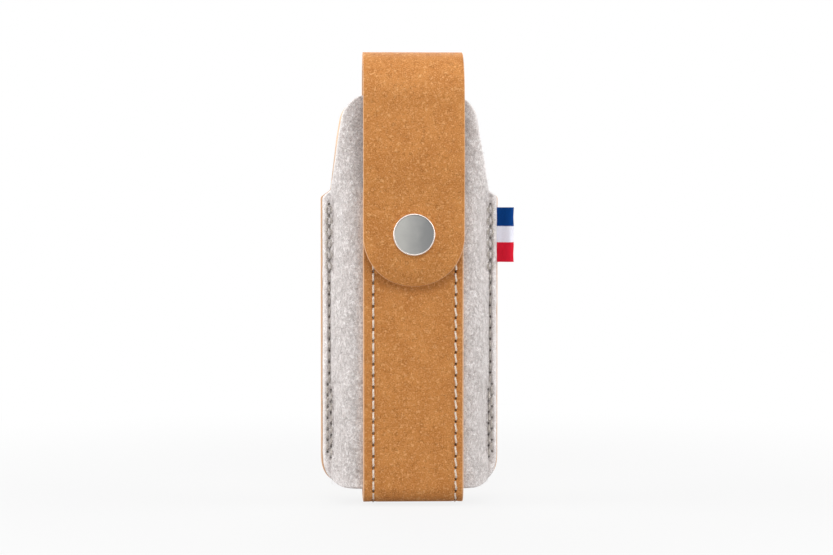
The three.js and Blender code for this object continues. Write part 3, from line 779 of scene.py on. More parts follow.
def leather_line():
    """Seen from the side, as (front to back, up), from the strap's front top to the flap's end."""
    foot = strap_low[2]
    front = strap_low[1]
    fold = FOLD_RADIUS - STRAP_THICKNESS / 2
    run, loop = BACK_RUN_MID, BACK_RUN_MID + LOOP_GAP
    middle = LOOP_HALF + LOOP_RAMP / 2
    tongue = ARCH_CENTRE[0] - ARCH_RADIUS
    share = np.linspace(0, 1, 40)
    bow = TONGUE_BOW * np.sin(share * math.pi) ** 2
    hanging = np.stack([tongue - bow, ARCH_CENTRE[1] + (cap_high[2] - ARCH_CENTRE[1]) * share], axis=1)
    tip_height = cap_low[2] + (tongue_low[2] - cap_low[2]) * share
    tip = np.stack([tongue + TIP_LEAN * share**2, tip_height], axis=1)
    return MeasuredLine(
        np.array([[front + STRAP_THICKNESS / 2, STRAP_FRONT_TOP]]),
        arc((front + FOLD_RADIUS, foot + FOLD_RADIUS), fold, 180, 270),
        arc((BACK_RUN_OUT - FOLD_RADIUS, foot + FOLD_RADIUS), fold, 270, 360),
        bezier((run, -LOOP_END), (run, -middle), (loop, -middle), (loop, -LOOP_HALF), 24),
        bezier((loop, LOOP_HALF), (loop, middle), (run, middle), (run, LOOP_END), 24),
        arc(ARCH_CENTRE, ARCH_RADIUS, 0, 180),
        hanging,
        tip,
    )


line = leather_line()
CROWN_AT = line.reach_of(1, ARCH_CENTRE[1] + ARCH_RADIUS - 1e-4)
FRONT_FOOT_AT = STRAP_FRONT_TOP - strap_low[2] - FOLD_RADIUS
FOLD_FLAT = BACK_RUN_OUT - strap_low[1] - 2 * FOLD_RADIUS
FOLD_LENGTH = FOLD_FLAT + math.pi * (FOLD_RADIUS - STRAP_THICKNESS / 2)
BACK_FOOT_AT = FRONT_FOOT_AT + FOLD_LENGTH


def on_leather(x, distance, out):
    """Points on the leather in space: across it, along its middle line, and out from the middle."""
    place = line.place(distance) + line.outward(distance) * np.asarray(out)[..., None]
    return np.stack([np.broadcast_to(x, place[..., 0].shape), place[..., 0], place[..., 1]], axis=-1)


def back_run_reach(height):
    """The distance along the middle line to a height on the back run."""
    rising = (line.reach > BACK_FOOT_AT - 1) & (line.reach < CROWN_AT)
    return float(np.interp(height, line.points[rising, 1], line.reach[rising]))


def stitch_ends(start, stop):
    """Needle holes along a row, evenly spaced at about the stitch pitch."""
    return np.linspace(start, stop, round(abs(stop - start) / STITCH_PITCH) + 1)


strap_holes = stitch_ends(
    SEAM_END,
    BACK_FOOT_AT + (-LOOP_HALF - LOOP_RAMP - 2 * SEAM_END) - strap_low[2] - FOLD_RADIUS,
)
lower_loop_row = [(-STRAP_SEAM, -LOOP_BAR), (STRAP_SEAM, -LOOP_BAR)]
upper_loop_row = [
    (-STRAP_SEAM, felt_high[2] - SEAM_END),
    (-STRAP_SEAM, LOOP_BAR),
    (STRAP_SEAM, LOOP_BAR),
    (STRAP_SEAM, felt_high[2] - SEAM_END),
]


def marks(corners):
    """Needle holes along a line of corners, evenly spaced on each leg at about the stitch pitch."""
    holes = [np.array(corners[0], dtype=float)]
    for first, last in zip(corners, corners[1:]):
        count = max(1, round(math.dist(first, last) / STITCH_PITCH))
        first = np.array(first, dtype=float)
        holes += [first + (np.array(last) - first) * (k + 1) / count for k in range(count)]
    return holes


def strap_hole_places():
    """All needle holes on the strap's outer face, as (across, along)."""
    places = [(sign * STRAP_SEAM + STRAP_ROW_SHIFT, v) for sign in (-1, 1) for v in strap_holes]
    for x, z in marks(upper_loop_row) + marks(lower_loop_row):
        places.append((x, back_run_reach(z)))
    return places


def edge_ring(half, thickness, rounding, columns):
    """A strip's cross-section from the middle of its inner face round to the same place: place
    across, place out from the middle, the share of pale cut edge and painted highlight, and whether
    it is on the inner face."""
    corner = arc((half - rounding, thickness / 2 - rounding), rounding, 0, 90)[::18]
    right = np.concatenate([corner[::-1], corner * (1, -1)])
    inner = np.linspace(0, half - rounding, 8)[:-1]
    across = np.concatenate([-inner, -right[::-1, 0], columns, right[:, 0], inner[::-1]])
    low = np.full(len(inner), -thickness / 2)
    out = np.concatenate([low, right[::-1, 1], np.full(len(columns), thickness / 2), right[:, 1], low])
    # Pale cut edge with a painted highlight, in a band along each edge of the strap
    edge = np.clip((np.abs(across) - half + PALE_EDGE) / (PALE_EDGE - rounding), 0, 1)
    return across, out, STRAP_EDGE_PALE * edge, (out < -thickness / 2 + TINY).astype(float)


def make_strap():
    """The strap up to the middle of the crown, pressed in along both rows of stitches."""
    near_seam = np.array([-1.4, -1.0, -0.7, -0.45, -0.22, 0.0, 0.22, 0.45, 0.7, 1.0, 1.4])
    plain = np.linspace(-STRAP_SEAM + 2.0, STRAP_SEAM - 2.0, 37)
    beside = STRAP_SEAM + near_seam
    ends = (PALE_EDGE - STRAP_HALF, STRAP_HALF - PALE_EDGE)
    columns = np.sort(np.concatenate([plain, STRAP_ROW_SHIFT + beside, STRAP_ROW_SHIFT - beside, ends]))
    across, out, edge, inner = edge_ring(STRAP_HALF, STRAP_THICKNESS, STRAP_EDGE_ROUND, columns)
    steps = np.hypot(np.diff(across), np.diff(out))
    around = np.concatenate([[0], np.cumsum(steps)])
    around -= around[-1] / 2
    rows = np.linspace(0, CROWN_AT, int(CROWN_AT / ROW_STEP))
    x, v = np.meshgrid(across, rows)
    from_seam = np.abs(np.abs(x - STRAP_ROW_SHIFT) - STRAP_SEAM)
    face = np.broadcast_to(out > STRAP_THICKNESS / 2 - TINY, x.shape)
    sewn = face & (v > strap_holes[0] - 1) & (v < strap_holes[-1] + 1)
    pressed = STRAP_TROUGH_DEPTH * np.exp(-((from_seam / STRAP_TROUGH_HALF) ** 2))
    needle = np.zeros(x.shape)
    for hole_x, hole_v in strap_hole_places():
        near = slice(*np.searchsorted(rows, (hole_v - HOLE_REACH, hole_v + HOLE_REACH)))
        needle[near] += dent(x[near] - hole_x, v[near] - hole_v, STRAP_HOLE_RADIUS, STRAP_HOLE_RADIUS)
    needle *= face
    sunk = np.where(sewn, pressed, 0) + STRAP_HOLE_DEPTH * needle
    points = on_leather(x, v, np.broadcast_to(out, x.shape) - sunk)
    uv = np.stack([np.broadcast_to(around, x.shape), v], axis=-1) * MM
    masks = {
        "cut_edge_and_highlight": np.broadcast_to(edge, x.shape).ravel(),
        "flesh_side": np.broadcast_to(inner, x.shape).ravel(),
        "needle": needle.ravel(),
    }
    faces = grid_faces(len(rows), len(across))
    return new_piece("strap_leather", points.reshape(-1, 3), faces, uv.reshape(-1, 2), masks)


def make_flap():
    """The flap from the middle of the crown to its round end: nested loops, open at the crown."""
    end_centre = line.length - STRAP_HALF
    bend_end = CROWN_AT + 24
    side = np.concatenate([np.arange(CROWN_AT, bend_end, 0.6), np.linspace(bend_end, end_centre, 40)])
    turn = np.radians(np.linspace(180, 360, 61))[1:-1]
    rounding = STRAP_EDGE_ROUND
    top = STRAP_THICKNESS / 2
    corner = arc((rounding, top - rounding), rounding, 90, 180)[::18]
    insets = [(inset, top) for inset in (STRAP_HALF, 12.0, 9.0, 6.0, 3.5, 1.8, PALE_EDGE)]
    insets += [tuple(place) for place in corner]
    insets += [(inset, -height) for inset, height in insets[::-1]]
    rows, uv, edge, inner = [], [], [], []
    for inset, out in insets:
        half = STRAP_HALF - inset
        x = np.concatenate([np.full(len(side), -half), half * np.cos(turn), np.full(len(side), half)])
        v = np.concatenate([side, end_centre - half * np.sin(turn), side[::-1]])
        rows.append(on_leather(x, v, np.full(len(x), out)))
        beyond = max(0.0, top - out)
        uv.append(np.stack([x + np.sign(x) * beyond, v], axis=-1) * MM)
        # The flap's round rim gets the pale cut edge with its painted highlight
        edge.append(np.full(len(x), STRAP_EDGE_PALE * np.clip((rounding - inset) / rounding, 0, 1)))
        inner.append(np.full(len(x), float(out < -top + TINY)))
    masks = {
        "cut_edge_and_highlight": np.concatenate(edge),
        "flesh_side": np.concatenate(inner),
        "needle": np.zeros(sum(len(row) for row in rows)),
    }
    faces = grid_faces(len(rows), len(rows[0]))
    return new_piece("flap_leather", np.concatenate(rows), faces, np.concatenate(uv), masks)


def dress_leather():
    """Strap and flap in leather, meeting at the middle of the crown."""
    quarter = math.pi / 2 * ARCH_RADIUS
    before, crown, after = (
        on_leather(np.array(0.0), np.array(CROWN_AT + quarter * share), np.array(0.0)) * MM
        for share in (-BEND_SHARE, 0.0, BEND_SHARE)
    )
    strap = dress(make_strap(), leather, None, "leather", "strap", "flap_crown")
    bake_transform(strap)
    flap = dress(make_flap(), leather, None, "leather", "flap_tongue")
    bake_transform(flap)


# The pouch's two panels


def panel_outline(half, foot, mouth):
    """A panel's half width by its height, from foot to mouth."""
    corners = [
        (0.0, foot, 0.0),
        (half, foot, PANEL_CORNER),
        (half, SHOULDER_HEIGHT, SHOULDER_ROUND),
        (PANEL_HALF - SHOULDER_STEP, SHOULDER_HEIGHT + SHOULDER_RISE, SHOULDER_ROUND),
        (MOUTH_HALF, mouth, MOUTH_CORNER),
        (0.0, mouth, 0.0),
    ]
    outline = filleted(corners)[1:-1]
    middle = np.array([half - PANEL_CORNER, foot + PANEL_CORNER])
    turned = (outline - middle) / (PANEL_CORNER, -PANEL_CORNER)
    in_corner = (turned >= 0).all(axis=1)
    turned = np.clip(turned, 0, 1) ** (2 / CORNER_SQUARENESS)
    outline[in_corner] = (middle + turned * (PANEL_CORNER, -PANEL_CORNER))[in_corner]
    return outline


def panel_section(depth, body, edge, fall, half):
    """The outer face of a panel's cross-section (across, out), and its thickness there."""
    crest = depth + body
    join = SEAM_X - SEAM_JOIN
    run = join - STRAP_HALF
    swell = bezier(
        (STRAP_HALF, crest),
        (STRAP_HALF + run * 0.55, crest),
        (join - run * 0.1, edge + (crest - edge) * 0.5),
        (join, edge),
        60,
    )
    t = np.linspace(0, 1, 21)[1:]
    lip = edge - fall * ramp(t, 0.3, 0.7) ** 2
    flange = np.stack([join + (half - join) * t, lip], axis=1)
    outer = MeasuredLine(np.array([[0.0, crest]]), swell, flange)
    down = np.clip((crest - outer.points[:, 1]) / (crest - edge), 0, 1)
    pressed = ramp(down, 0.4, 0.6)
    pressed = pressed**2 * (3 - 2 * pressed)
    on_flange = outer.points[:, 0] > join - TINY
    thick = np.where(on_flange, outer.points[:, 1], body + (edge - body) * pressed)
    return outer, thick


def groove_profile(z, from_seam):
    """How far the felt is pressed in beside the side seams, as a share of the single row's groove:
    one trough along the single row, a wide one at the foot, and a chain of links at the top. Its
    half width, share and amount of chain are given from foot to mouth."""
    foot, top = TACK_FOOT_DEPTH / GROOVE_DEPTH, TACK_TOP_DEPTH / GROOVE_DEPTH
    half, share, chain = (
        float(np.interp(z, GROOVE_HEIGHTS, values))
        for values in (
            (1.1, 1.1, 0.5, 0.5, 0.4, 0.4),
            (foot, foot, 1.0, 1.0, top, top),
            (0, 0, 0, 0, 1, 1),
        )
    )
    bow = chain * TACK_BOW * abs(math.sin(math.pi * (SEAM_TOP - z) / STITCH_PITCH)) * (z < SEAM_TOP)
    return share * np.exp(-(((np.abs(from_seam) - bow) / half) ** 4))


def tack_share(z):
    """Whether the stitches are doubled at a height, and the felt held down further in."""
    ends = (tack_foot[-1] - 2.5, tack_foot[-1] - 1, tack_foot[0], tack_foot[0] + 2)
    ends += (tack_top[-1] - 2, tack_top[-1], tack_top[0] + 0.5, tack_top[0] + 2)
    return float(np.interp(z, ends, (0, 1, 1, 0, 0, 1, 1, 0)))


def make_panel(name, node, side, depth, body, edge, fall, groove_depth, rounding, holes, lumps):
    """A panel bent over the pocket: every row is the same bent sheet, cut to its own width.
    Gives the piece, its flat size and its flat area in metres. Lumps are 1 for felt, which gives
    under the thread and is uneven, and 0 for leather."""
    low, high = node_box(node)
    half = high[0]
    seam_plane = high[1] if side < 0 else low[1]
    outline = panel_outline(half, low[2], high[2])
    outer, thick = panel_section(depth, body, edge, fall, half)
    near_end = np.array([0.0, 0.06, 0.2, 0.4, 0.7, 1.1])
    inside = np.arange(low[2] + 1.5, high[2] - 1.5, ROW_STEP)
    heights = np.concatenate([low[2] + near_end, inside, (high[2] - near_end)[::-1]])
    widths = np.interp(heights, outline[:, 1], outline[:, 0])
    reach = np.interp(widths, outer.points[:, 0], outer.reach)
    seam_at = np.interp(SEAM_X, outer.points[:, 0], outer.reach)
    swell_at = np.interp(STRAP_HALF - 1, outer.points[:, 0], outer.reach)
    near_seam = np.array([
        -1.2, -1.05, -0.9, -0.76, -0.62, -0.46, -0.32, -0.2, -0.1,
        0.0, 0.1, 0.2, 0.32, 0.46, 0.62, 0.78, 0.95, 1.15,
    ])
    near_edge = np.array([1.0, 0.7, 0.45, 0.25, 0.1, 0.03, 0.0])
    shares = np.concatenate([
        np.linspace(0, swell_at, 4)[:-1],
        np.linspace(swell_at, seam_at - 1.3, 22)[:-1],
        seam_at + near_seam,
    ]) / (outer.length - near_edge[0] - 0.1)
    rows = []
    masks = {"pressed": [], "needle": [], "cut_edge_and_highlight": [], "flesh_side": [], "loose": []}
    for z, limit in zip(heights, reach):
        r = np.concatenate([shares * (limit - near_edge[0] - 0.1), limit - near_edge])
        place = outer.place(r)
        flange = place[:, 0] > SEAM_X - SEAM_JOIN
        way_in = np.where(flange[:, None], (0.0, -1.0), outer.outward(r))
        thickness = np.interp(r, outer.reach, thick)
        to_edge = np.minimum(np.minimum(limit - r, z - low[2]), high[2] - z)
        soft = np.clip(rounding - to_edge, 0, rounding)
        eased = rounding - np.sqrt(np.maximum(rounding**2 - soft**2, 0))
        eased = np.minimum(eased, thickness * 0.45)
        from_seam = r - seam_at
        needle = np.zeros(len(r))
        for hole_x, hole_z in holes:
            if abs(hole_z - z) < HOLE_REACH:
                needle += dent(place[:, 0] - hole_x, z - hole_z, *PANEL_HOLE)
        fade = np.clip(min(z - SEAM_FOOT + 3, SEAM_TOP + 2 - z) / 3, 0, 1)
        # The groove is pressed into the felt, and the same share paints it darker as shade
        groove = groove_profile(z, from_seam) * fade
        held = edge + TACK_SLOPE * np.maximum(0, SEAM_X - TACK_REACH - place[:, 0])
        sunk = np.maximum(0, place[:, 1] - held) * tack_share(z) * lumps * (place[:, 0] > STRAP_HALF)
        out = place[:, 1] - sunk - eased - groove_depth * groove - FELT_HOLE_DEPTH * needle * lumps
        flatter = MOUTH_FLATNESS * lumps * ramp(z, SHOULDER_HEIGHT, NECK_EASE)
        forward = flatter * np.maximum(0, depth + body - place[:, 1])
        out += forward
        inner = place + way_in * thickness[:, None] + np.stack([np.zeros(len(r)), forward], axis=-1)
        inner[:, 1] += eased
        ring_x = np.concatenate([-place[::-1, 0], place[1:, 0], inner[::-1, 0], -inner[1:, 0]])
        ring_out = np.concatenate([out[::-1], out[1:], inner[::-1, 1], inner[1:, 1]])
        rows.append(np.stack([ring_x, seam_plane + side * ring_out, np.full(len(ring_x), z)], axis=-1))
        # The back leather's pale cut edge; on the felt, a painted highlight along its rim, left off near
        # the foot
        pale = np.clip((BACK_EDGE_PALE - to_edge) / BACK_EDGE_FADE, 0, 1)
        if lumps:
            pale = np.clip((RIM_WIDTH - limit + r) / RIM_FADE, 0, 1)
            pale = pale * ramp(z - low[2], RIM_FOOT, RIM_FOOT_FADE)
        none = np.zeros(len(r))
        clear_of_strap = (place[:, 0] > STRAP_HALF + 0.4) | (z > STRAP_FRONT_TOP + 0.5)
        loose = clear_of_strap * (1 - groove) * ramp(to_edge, FUZZ_INSET, FUZZ_FADE)
        for mask, face, back in (
            ("pressed", groove, none),
            ("needle", needle, none),
            ("cut_edge_and_highlight", pale, pale),
            ("flesh_side", none, none + 1),
            ("loose", loose, none),
        ):
            masks[mask].append(np.concatenate([face[::-1], face[1:], back[::-1], back[1:]]))
    rows = [np.concatenate([row, row[:1]]) for row in rows]
    masks = {
        mask: np.concatenate([np.append(ring, ring[0]) for ring in rings])
        for mask, rings in masks.items()
    }
    points = np.concatenate(rows)
    if lumps:
        points[:, 1] += sum(side * bump_field(points, *lump) for lump in FELT_LUMPS)
        points[:, 0] += bump_field(points + 40.0, *FELT_SIDE_LUMPS)
    else:
        points[:, 0] -= BACK_SHIFT
    neck_shift = NECK_SHIFT if lumps else BACK_NECK_SHIFT
    points[:, 0] -= PANEL_SHIFT + neck_shift * ramp(points[:, 2], SHOULDER_HEIGHT, NECK_EASE)
    uv = points[:, [0, 2]] * MM
    uv[:, 0] -= side * (points[:, 1] - seam_plane) * MM * np.sign(points[:, 0] + PANEL_SHIFT)
    piece = new_piece(name, points, grid_faces(len(rows), len(rows[0])), uv, masks, 70)
    flat_area = 2 * np.sum((reach[1:] + reach[:-1]) / 2 * np.diff(heights))
    return piece, (2 * outer.length * MM, (high[2] - low[2]) * MM), flat_area * MM * MM


# Side seams: a doubled row at the top, a single row, and two staggered rows at the foot
seam_holes = np.arange(SEAM_TOP, SEAM_FOOT - 1, -STITCH_PITCH)
TACK_TOP_COUNT = round(BACKTACK_TOP / STITCH_PITCH)
TACK_FOOT_COUNT = round(BACKTACK_FOOT / STITCH_PITCH)
tack_top = seam_holes[: TACK_TOP_COUNT + 1]
single = seam_holes[TACK_TOP_COUNT : len(seam_holes) - TACK_FOOT_COUNT]
tack_foot = seam_holes[len(seam_holes) - TACK_FOOT_COUNT - 1 :]
felt_holes = [(SEAM_X, z) for z in np.concatenate([tack_top, single[1:-1]])]
felt_holes += [(SEAM_X + FOOT_SPREAD, z) for z in tack_foot]
felt_holes += [(SEAM_X - FOOT_SPREAD, z - STITCH_PITCH / 2) for z in tack_foot]
back_holes = [(SEAM_X, z) for z in seam_holes]
GROOVE_HEIGHTS = (felt_low[2], tack_foot[0] - 1, tack_foot[0] + 2)
GROOVE_HEIGHTS += (single[0] - 1, single[0] + 1, felt_high[2])


def dress_panels():
    """The felt front with its loose fibres, and the leather back."""
    front, flat, area = make_panel(
        "felt_front", "front_felt_panel", side=-1,
        depth=felt_high[1] - felt_low[1] - FELT_THICKNESS,
        body=FELT_THICKNESS, edge=FELT_AT_EDGE, fall=FLANGE_FALL, groove_depth=GROOVE_DEPTH,
        rounding=FELT_EDGE_ROUND, holes=felt_holes, lumps=1.0,
    )
    fuzz = grow(front)
    dress(front, felt, "pouch", "felt", "front_felt_panel")
    dress(fuzz, loose_wool, "pouch", "felt")
    back, _, _ = make_panel(
        "leather_back", "back_panel", side=1,
        depth=back_high[1] - back_low[1] - BACK_THICKNESS,
        body=BACK_THICKNESS, edge=BACK_THICKNESS, fall=0.0, groove_depth=BACK_GROOVE_DEPTH,
        rounding=BACK_EDGE_ROUND, holes=back_holes, lumps=0.0,
    )
    dress(back, leather, "pouch", "leather", "back_panel")


# Sewing thread


def flat_face(y, facing):
    """A flat face across the sheath, as a place and the way out for each point (across, up)."""
    return lambda x, z: (np.array([x, y, z]), np.array([0.0, facing, 0.0]))


def strap_face(x, distance):
    """The strap's outer face, by the distance along its middle line."""
    ease = FOLD_STITCH_EASE
    fold = (FRONT_FOOT_AT, FRONT_FOOT_AT + ease, BACK_FOOT_AT - ease, BACK_FOOT_AT)
    out = STRAP_THICKNESS / 2 - FOLD_STITCH_SINK * np.interp(distance, fold, (0, 1, 1, 0))
    place = on_leather(np.array(x), np.array(distance), np.array(out))
    outward = line.outward(distance)
    return place, np.array([0.0, outward[0], outward[1]])


def stitches(holes, face, bow=0.0, slant=0.0):
    """One stitch from each hole to the next, as lists of (place, way up, bow); a slanting stitch
    leaves its hole on one side and enters the next on the other."""
    found = []
    shares = np.linspace(0.07, 0.93, 5)
    for first, last in zip(holes, holes[1:]):
        first = np.array(first, dtype=float)
        last = np.array(last, dtype=float)
        along = (last - first) / np.linalg.norm(last - first)
        aside = np.array([along[1], -along[0]])
        stations = []
        for share in shares:
            spot = first + (last - first) * share + aside * slant * (share - 0.5)
            place, up = face(*spot)
            ahead, _ = face(*(spot + along * 0.1))
            sideways = np.cross(ahead - place, up)
            stations.append((place, up, sideways / np.linalg.norm(sideways) * bow))
        found.append(stations)
    return found


def sew(name, rows, material, slot, node, radius=0.3, rise=0.1):
    """A piece of thread for one node, from the stitches of its rows."""
    lines = [stitch for row in rows for stitch in row]
    spots = [spot for stitch in lines for spot in stitch]
    points, ups, bows = (np.array(column) for column in zip(*spots))
    edges = []
    count = 0
    for stitch in lines:
        edges += [(count + k, count + k + 1) for k in range(len(stitch) - 1)]
        count += len(stitch)
    mesh = bpy.data.meshes.new(name + "_holes")
    mesh.from_pydata((points * MM).tolist(), edges, [])
    for label, values in (("up", ups), ("bow", bows * MM)):
        attribute = mesh.attributes.new(label, "FLOAT_VECTOR", "POINT")
        attribute.data.foreach_set("vector", values.astype(np.float32).ravel())
    holes = add_object(name + "_holes", mesh)
    sizes = {"Radius": radius * MM, "Rise": rise * MM, "Material": material}
    piece = run_tree(name, holes, stitch_row, sizes)
    bpy.data.objects.remove(holes)
    dress(piece, material, "pouch", slot, node)


def sew_everything():
    """Needle and bobbin threads of the side seams, the strap and the belt loop."""
    seam_front, top_front, foot_front = (
        flat_face(felt_high[1] - FELT_AT_EDGE + depth, -1.0)
        for depth in (GROOVE_DEPTH, TACK_TOP_DEPTH, TACK_FOOT_DEPTH)
    )
    seam_back = flat_face(back_low[1] + BACK_THICKNESS, 1.0)
    felt_inside = flat_face(felt_low[1] + FELT_THICKNESS, 1.0)
    back_inside = flat_face(back_high[1] - BACK_THICKNESS, -1.0)
    strap_back = flat_face(BACK_RUN_OUT, 1.0)
    pocket_foot = felt_low[2] + SEAM_END
    grey = (grey_thread, "grey_thread")
    cream = (cream_thread, "cream_thread")
    for side, sign in (("left", -1), ("right", 1)):
        x = sign * SEAM_X - PANEL_SHIFT
        spread = sign * FOOT_SPREAD
        rows = [
            stitches([(x, z) for z in tack_top], top_front, TACK_BOW),
            stitches([(x, z) for z in tack_top], top_front, -TACK_BOW),
            stitches([(x, z) for z in single], seam_front),
            stitches([(x + spread, z) for z in tack_foot], foot_front, FOOT_BOW),
            stitches([(x - spread, z - STITCH_PITCH / 2) for z in tack_foot], foot_front, -FOOT_BOW),
        ]
        sew(f"{side}_seam_stitches", rows, *grey, f"{side}_seam_thread", radius=0.29, rise=0.22)
        rows = [stitches([(x, z) for z in seam_holes], seam_back)]
        sew(f"{side}_seam_back_stitches", rows, *grey, f"{side}_seam_bobbin_thread")
        x = sign * STRAP_SEAM + STRAP_ROW_SHIFT
        rows = [stitches([(x, v) for v in strap_holes], strap_face, slant=0.35 + 0.25 * sign)]
        sew(f"{side}_strap_stitches", rows, *cream, f"{side}_strap_thread", radius=0.36)
        rows = [stitches(marks([(x, STRAP_FRONT_TOP - SEAM_END), (x, pocket_foot)]), felt_inside)]
        sew(f"{side}_strap_pocket_stitches", rows, *cream, f"{side}_strap_bobbin_thread")
    pocket_row = [(-STRAP_SEAM, pocket_foot), *lower_loop_row, (STRAP_SEAM, pocket_foot)]
    for name, corners, face in (
        ("belt_loop_upper", upper_loop_row, strap_back),
        ("belt_loop_lower", lower_loop_row, strap_back),
        ("belt_loop_upper_bobbin", upper_loop_row, back_inside),
        ("belt_loop_lower_bobbin", pocket_row, back_inside),
    ):
        rows = [stitches(marks(corners), face)]
        sew(name + "_stitches", rows, *cream, name + "_thread")


# Press stud


def spin(name, corners, polished, sides=72):
    """A turned piece about the snap's axis, from corners (radius, front to back, rounding);
    how polished it is comes from the radius."""
    profile = filleted(corners)
    angles = np.linspace(0, 2 * math.pi, sides + 1)
    points = np.array([
        (radius * math.cos(angle), y, SNAP_HEIGHT + radius * math.sin(angle))
        for angle in angles
        for radius, y in profile
    ])
    shine = np.tile(np.broadcast_to(polished(profile[:, 0]), len(profile)), len(angles))
    return new_piece(name, points, grid_faces(len(angles), len(profile)), None, {"polished": shine}, 35)


def make_snap():
    """The press stud: four turned pieces and a hairpin spring."""
    face, under, clench, reach = cap_low[1], tongue_low[1], cap_high[1], cap_high[0]
    cap = [
        (0.0, face + 0.34, 0.0),
        (3.2, face + 0.36, 6.0),
        (reach - 0.5, face + 0.4, 0.1),
        (reach - 0.38, face + 0.02, 0.1),
        (reach - 0.12, face, 0.2),
        (reach, face + 0.7, 0.3),
        (reach - 0.08, under, 0.08),
        (1.3, under, 0.02),
        (1.3, clench - 0.32, 0.02),
        (2.1, clench - 0.3, 0.1),
        (2.1, clench, 0.1),
        (0.9, clench, 0.1),
        (0.7, clench - 0.6, 0.1),
        (0.0, clench - 0.6, 0.0),
    ]
    floor, rim, outer = socket_low[1], socket_high[1], socket_high[0]
    socket = [
        (1.5, floor, 0.0),
        (outer - 0.3, floor, 0.05),
        (outer, floor + 0.5, 0.25),
        (outer, rim - 0.5, 0.2),
        (outer - 0.5, rim, 0.25),
        (3.9, rim, 0.2),
        (3.45, rim - 0.45, 0.1),
        (3.45, rim - 0.62, 0.03),
        (4.5, rim - 0.62, 0.05),
        (4.5, rim - 1.34, 0.05),
        (3.45, rim - 1.34, 0.03),
        (3.45, floor + 0.5, 0.1),
        (1.5, floor + 0.5, 0.02),
        (1.5, floor, 0.0),
    ]
    top, foot, base = stud_low[1], stud_high[1], stud_high[0]
    stud = [
        (0.0, top + 0.5, 0.0),
        (1.9, top + 0.5, 0.1),
        (1.9, foot - 0.5, 0.1),
        (1.4, foot - 0.5, 0.02),
        (1.4, foot, 0.02),
        (base, foot, 0.1),
        (base, foot - 0.5, 0.22),
        (2.4, foot - 0.5, 0.15),
        (2.4, top + 0.75, 0.12),
        (2.85, top + 0.4, 0.2),
        (2.6, top, 0.25),
        (0.9, top, 0.25),
        (0.6, top + 0.12, 0.1),
        (0.0, top + 0.12, 0.0),
    ]
    rivet_low, rivet_high = node_box("snap_rivet")
    head, clenched, flange = rivet_low[1], rivet_high[1], rivet_high[0]
    rivet = [
        (0.0, clenched + 0.05, 0.0),
        (2.4, clenched, 3.0),
        (flange, clenched - 0.18, 0.15),
        (flange, clenched - 0.5, 0.1),
        (1.3, clenched - 0.5, 0.05),
        (1.3, head + 0.3, 0.02),
        (1.8, head + 0.3, 0.05),
        (1.8, head, 0.1),
        (0.8, head, 0.1),
        (0.7, head + 1.0, 0.05),
        (0.0, head + 1.0, 0.0),
    ]
    for name, corners, polished, body, node in (
        ("cap", cap, lambda radius: np.clip((radius - reach + 0.5) / 0.12, 0, 1), "tongue", "snap_cap"),
        ("socket", socket, lambda radius: 0.35, "tongue", "snap_socket"),
        ("post", stud, lambda radius: 0.6, "pouch", "snap_stud"),
        ("rivet", rivet, lambda radius: 0.3, "pouch", "snap_rivet"),
    ):
        dress(spin("press_stud_" + name, corners, polished), steel, body, "steel", node)
    make_spring()


def make_spring():
    """A hairpin of round wire in the socket's groove."""
    spring_low, spring_high = node_box("snap_spring")
    wire = 0.3
    reach = spring_high[0] - wire
    hairpin = MeasuredLine(
        np.array([[reach, spring_low[2] - SNAP_HEIGHT]]),
        arc((0.0, 0.0), reach, 0, 180),
        np.array([[-reach, spring_low[2] - SNAP_HEIGHT]]),
    )
    rows = np.linspace(0, hairpin.length, 48)
    around = np.radians(np.linspace(0, 360, 13))
    middle = hairpin.place(rows)
    outward = hairpin.outward(rows)
    depth = (spring_low[1] + spring_high[1]) / 2
    rings = []
    for place, way in zip(middle, outward):
        for angle in around:
            out = place + way * wire * math.cos(angle)
            rings.append((out[0], depth + wire * math.sin(angle), SNAP_HEIGHT + out[1]))
    spring = new_piece(
        "press_stud_spring", np.array(rings), grid_faces(len(rows), len(around)),
        None, {"polished": np.full(len(rings), 0.5)},
    )
    dress(spring, steel, "tongue", "steel", "snap_spring")


# Ribbon tab


def make_ribbon():
    """A ribbon folded into a flat loop, with both ends in the seam."""
    middle = (ribbon_low[1] + ribbon_high[1]) / 2
    foot, head = ribbon_low[2], ribbon_high[2]
    edge = back_high[0]
    turn = ribbon_high[0] - RIBBON_THICKNESS / 2 - RIBBON_FOLD
    half_way = (edge + turn) / 2
    swell = bezier(
        (edge, -RIBBON_LAYER),
        (half_way, -RIBBON_LAYER),
        (half_way, -RIBBON_FOLD),
        (turn, -RIBBON_FOLD),
        20,
    )
    front = np.concatenate([[[ribbon_low[0], -RIBBON_LAYER]], swell])
    path = MeasuredLine(front, arc((turn, 0.0), RIBBON_FOLD, -90, 90), (front * (1, -1))[::-1])
    rows = np.arange(0, path.length, 0.25)
    rows = np.append(rows, path.length)
    up = np.linspace(foot, head, 30)
    around = np.concatenate([up, up[::-1], up[:1]])
    face = np.concatenate([np.ones(len(up)), -np.ones(len(up)), [1.0]])
    z, d = np.meshgrid(around, rows)
    out = np.broadcast_to(face * RIBBON_THICKNESS / 2, z.shape)
    place = path.place(d) + path.outward(d) * out[..., None]
    waved = 0.06 * np.sin(z * 1.1) * np.clip(place[..., 0] - edge, 0, 1)
    points = np.stack([place[..., 0] + waved, middle + place[..., 1], z], axis=-1)
    uv = np.stack([d, z - foot], axis=-1) * MM
    faces = grid_faces(len(rows), len(around))
    piece = new_piece("ribbon_loop", points.reshape(-1, 3), faces, uv.reshape(-1, 2))
    dress(piece, ribbon_cloth, "pouch", "ribbon", "ribbon_tab")


# Camera, floor and light

VIEW_WIDTH = 248.6
VIEW_DISTANCE = 650.0
VIEW_AZIMUTH = -2.2
VIEW_ELEVATION = 2.0
VIEW_TARGET = (1.0, felt_low[1], 3.5)

